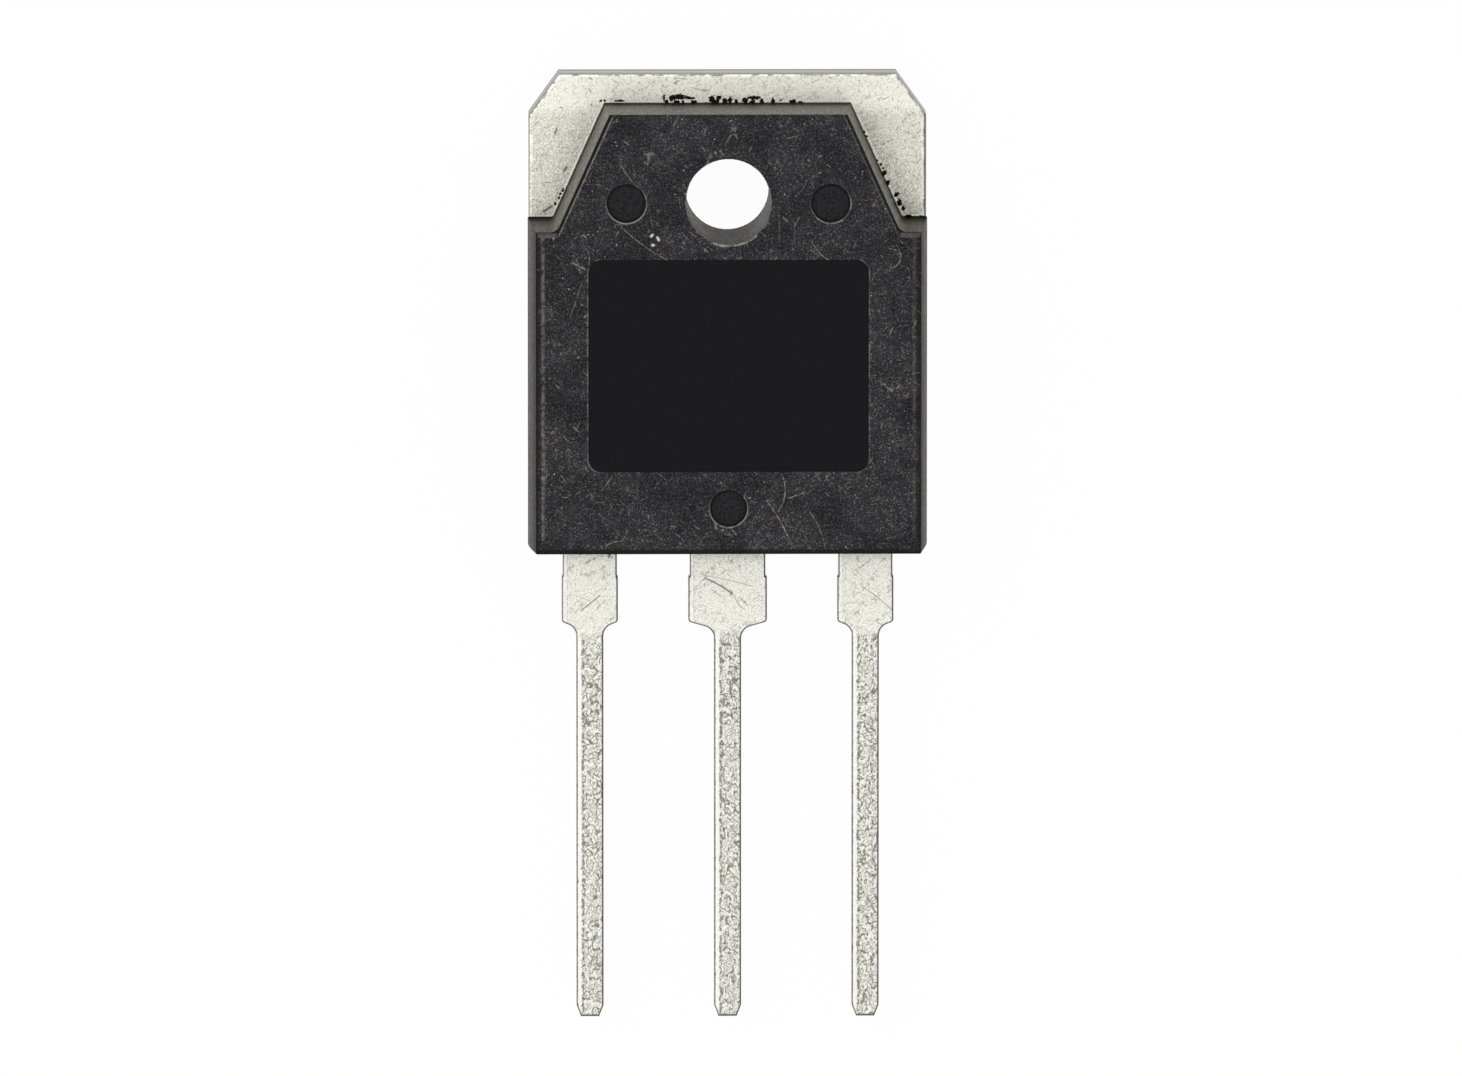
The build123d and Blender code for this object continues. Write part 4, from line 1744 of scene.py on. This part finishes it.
@dataclass
class LeadFrame:
    """The tinned plate with its centre lead, and the two outer leads.

    Attributes:
        nodes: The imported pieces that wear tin.
        pin_stretch: Length at the tip that is surely a pin.
        beside: How much wider than a pin a wide lead surely is.
    """

    nodes: tuple[str, ...] = ("collector_frame", "base_lead", "emitter_lead")
    pin_stretch: float = 5.0
    beside: float = 0.1

    def build(self) -> None:
        """Dress the three pieces in tin."""
        level = Moulding.plate_level()
        parting = BodyOutline.at(level)
        lead = points_of("emitter_lead")
        tip = min(point.y for point in lead)
        pitch, pin_half_width = span([point.x for point in lead if point.y < tip + self.pin_stretch])
        outside = [point for point in lead if point.y < parting.foot]
        shoulder = min(point.y for point in outside
                       if abs(point.x - pitch) > pin_half_width + self.beside)
        centre = [point for point in points_of("collector_frame") if point.y < parting.foot]
        tin = TinnedCopper(
            plate=PlateOutline.read(),
            parting=parting,
            plate_level=level,
            lead_foot=parting.foot,
            shoulder=shoulder,
            tip=tip,
            pitch=pitch,
            pin_half_width=pin_half_width,
            side_half_width=max(point.x for point in outside) - pitch,
            wide_half_width=max(point.x for point in centre),
        ).build()
        LOG.info("pins start at %.2f, pitch %.2f, half width %.2f", shoulder, pitch, pin_half_width)
        for node in self.nodes:
            dress(node, tin)


@dataclass
class BondedDie:
    """What the moulding hides: the die, its solder and the wires to the outer leads.

    Attributes:
        wires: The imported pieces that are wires.
    """

    wires: tuple[str, ...] = ("emitter_wire_1", "emitter_wire_2", "base_wire")

    def build(self) -> None:
        """Dress the die, the solder and the wires."""
        low, high = (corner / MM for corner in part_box("silicon_die"))
        middle = (low + high) / 2
        dress("silicon_die", Silicon((middle.x, middle.y), (high.x - low.x) / 2, high.z).build())
        dress("die_solder", Solder().build())
        aluminium = AluminiumWire().build()
        for node in self.wires:
            dress(node, aluminium)


# ====================================================================== studio
@dataclass
class Studio:
    """Pale floor, soft light and the camera above the marked face.

    Attributes:
        floor_half_size: Half the size of the floor.
        floor_colour: Its colour under light.
        floor_glow: How much of what the camera sees of it is plain white.
        floor_gap: Gap between the part and the floor.
        world_strength: Strength of the even light.
        key_watts: Power of the lamp.
        key_size: Its diameter.
        key_distance: Its distance.
        key_way: The way to it from the part.
        camera_distance: Distance of the camera.
        camera_lens: Its focal length.
        camera_tilt: How far it leans to the tab end, in degrees.
        camera_swing: How far it leans to the left, in degrees.
        clip_start: The nearest thing it sees.
        clip_end: The farthest thing it sees.
        aim_right: How far right of the part's middle it aims.
        aim_up: How far above that middle it aims.
    """

    floor_half_size: float = 600.0
    floor_colour: Colour = srgb(245, 245, 245)
    floor_glow: float = 0.97
    floor_gap: float = 0.02
    world_strength: float = 0.86
    key_watts: float = 0.16
    key_size: float = 220.0
    key_distance: float = 260.0
    key_way: tuple[float, float, float] = (-0.55, 0.45, 1.0)
    camera_distance: float = 1000.0
    camera_lens: float = 623.0
    camera_tilt: float = 7.6
    camera_swing: float = 0.8
    clip_start: float = 1.0
    clip_end: float = 10000.0
    aim_right: float = 0.128
    aim_up: float = 0.397

    def build(self) -> None:
        """Make the floor, the lights and the camera."""
        bpy.context.scene.view_settings.view_transform = "Standard"
        self.lay_floor()
        self.light_world()
        self.hang_key()
        self.place_camera()

    def lay_floor(self) -> None:
        """A plain pale floor just under the part's lowest point, and clear from below."""
        size, level = self.floor_half_size * MM, CAD_BOX[0].z - self.floor_gap * MM
        corners = [(x * size, y * size, level) for x, y in ((-1, -1), (1, -1), (1, 1), (-1, 1))]
        mesh = bpy.data.meshes.new("floor")
        mesh.from_pydata(corners, [], [(0, 1, 2, 3)])
        mesh.materials.append(self.make_floor_finish())
        floor = bpy.data.objects.new("floor", mesh)
        bpy.context.scene.collection.objects.link(floor)

    def make_floor_finish(self) -> bpy.types.Material:
        """Matte for the light, white for the camera and in reflections, and clear from below.

        Returns:
            The material.
        """
        material = bpy.data.materials.new("pale_floor")
        graph = Graph(material)
        matte = graph.add("ShaderNodeBsdfDiffuse", sockets={"Color": self.floor_colour})
        glow = graph.add("ShaderNodeEmission", sockets={"Color": WHITE, "Strength": 1.0})
        rays = graph.add("ShaderNodeLightPath")
        seen = Value(graph, rays.outputs["Is Camera Ray"])
        for name in ("Is Glossy Ray", "Is Transmission Ray"):
            seen = seen.most(Value(graph, rays.outputs[name]))
        below = Value(graph, graph.add("ShaderNodeNewGeometry").outputs["Backfacing"])
        clear = graph.add("ShaderNodeBsdfTransparent")
        pale = graph.blend(seen * self.floor_glow, matte, glow)
        graph.finish(graph.blend(below, pale, clear))
        return material

    def light_world(self) -> None:
        """Even light from all round."""
        world = bpy.data.worlds.new("studio")
        bpy.context.scene.world = world
        graph = Graph(world)
        graph.finish(graph.add(
            "ShaderNodeBackground",
            sockets={"Color": WHITE, "Strength": self.world_strength},
        ))

    def hang_key(self) -> None:
        """One large soft lamp, up and to the left of the tab."""
        way = Vector(self.key_way).normalized()
        middle = (CAD_BOX[0] + CAD_BOX[1]) / 2
        light = bpy.data.lights.new("key", "AREA")
        light.shape = "DISK"
        light.size = self.key_size * MM
        light.energy = self.key_watts
        lamp = bpy.data.objects.new("key", light)
        lamp.location = middle + way * (self.key_distance * MM)
        lamp.rotation_euler = way.to_track_quat("Z", "Y").to_euler()
        bpy.context.scene.collection.objects.link(lamp)

    def place_camera(self) -> None:
        """Look down on the marked face, a little from the tab end."""
        tilt, swing = math.radians(self.camera_tilt), math.radians(self.camera_swing)
        level = math.cos(swing)
        back = Vector((-math.sin(swing), math.sin(tilt) * level, math.cos(tilt) * level))
        right = Vector((0, 1, 0)).cross(back).normalized()
        up = back.cross(right)
        aim = (CAD_BOX[0] + CAD_BOX[1]) / 2 + (right * self.aim_right + up * self.aim_up) * MM
        camera = bpy.data.cameras.new("camera")
        camera.lens = self.camera_lens
        camera.clip_start, camera.clip_end = self.clip_start * MM, self.clip_end * MM
        holder = bpy.data.objects.new("camera", camera)
        turn = Matrix((right, up, back)).transposed().to_4x4()
        holder.matrix_world = Matrix.Translation(aim + back * (self.camera_distance * MM)) @ turn
        bpy.context.scene.collection.objects.link(holder)
        bpy.context.scene.camera = holder


def main() -> None:
    """Build the part's sub-assemblies and the studio round them."""
    logging.basicConfig(level=logging.INFO, format="%(message)s")
    for part in (Moulding(), LeadFrame(), BondedDie(), Studio()):
        part.build()
        LOG.info("%s is done", type(part).__name__)


if __name__ == "__main__":
    main()
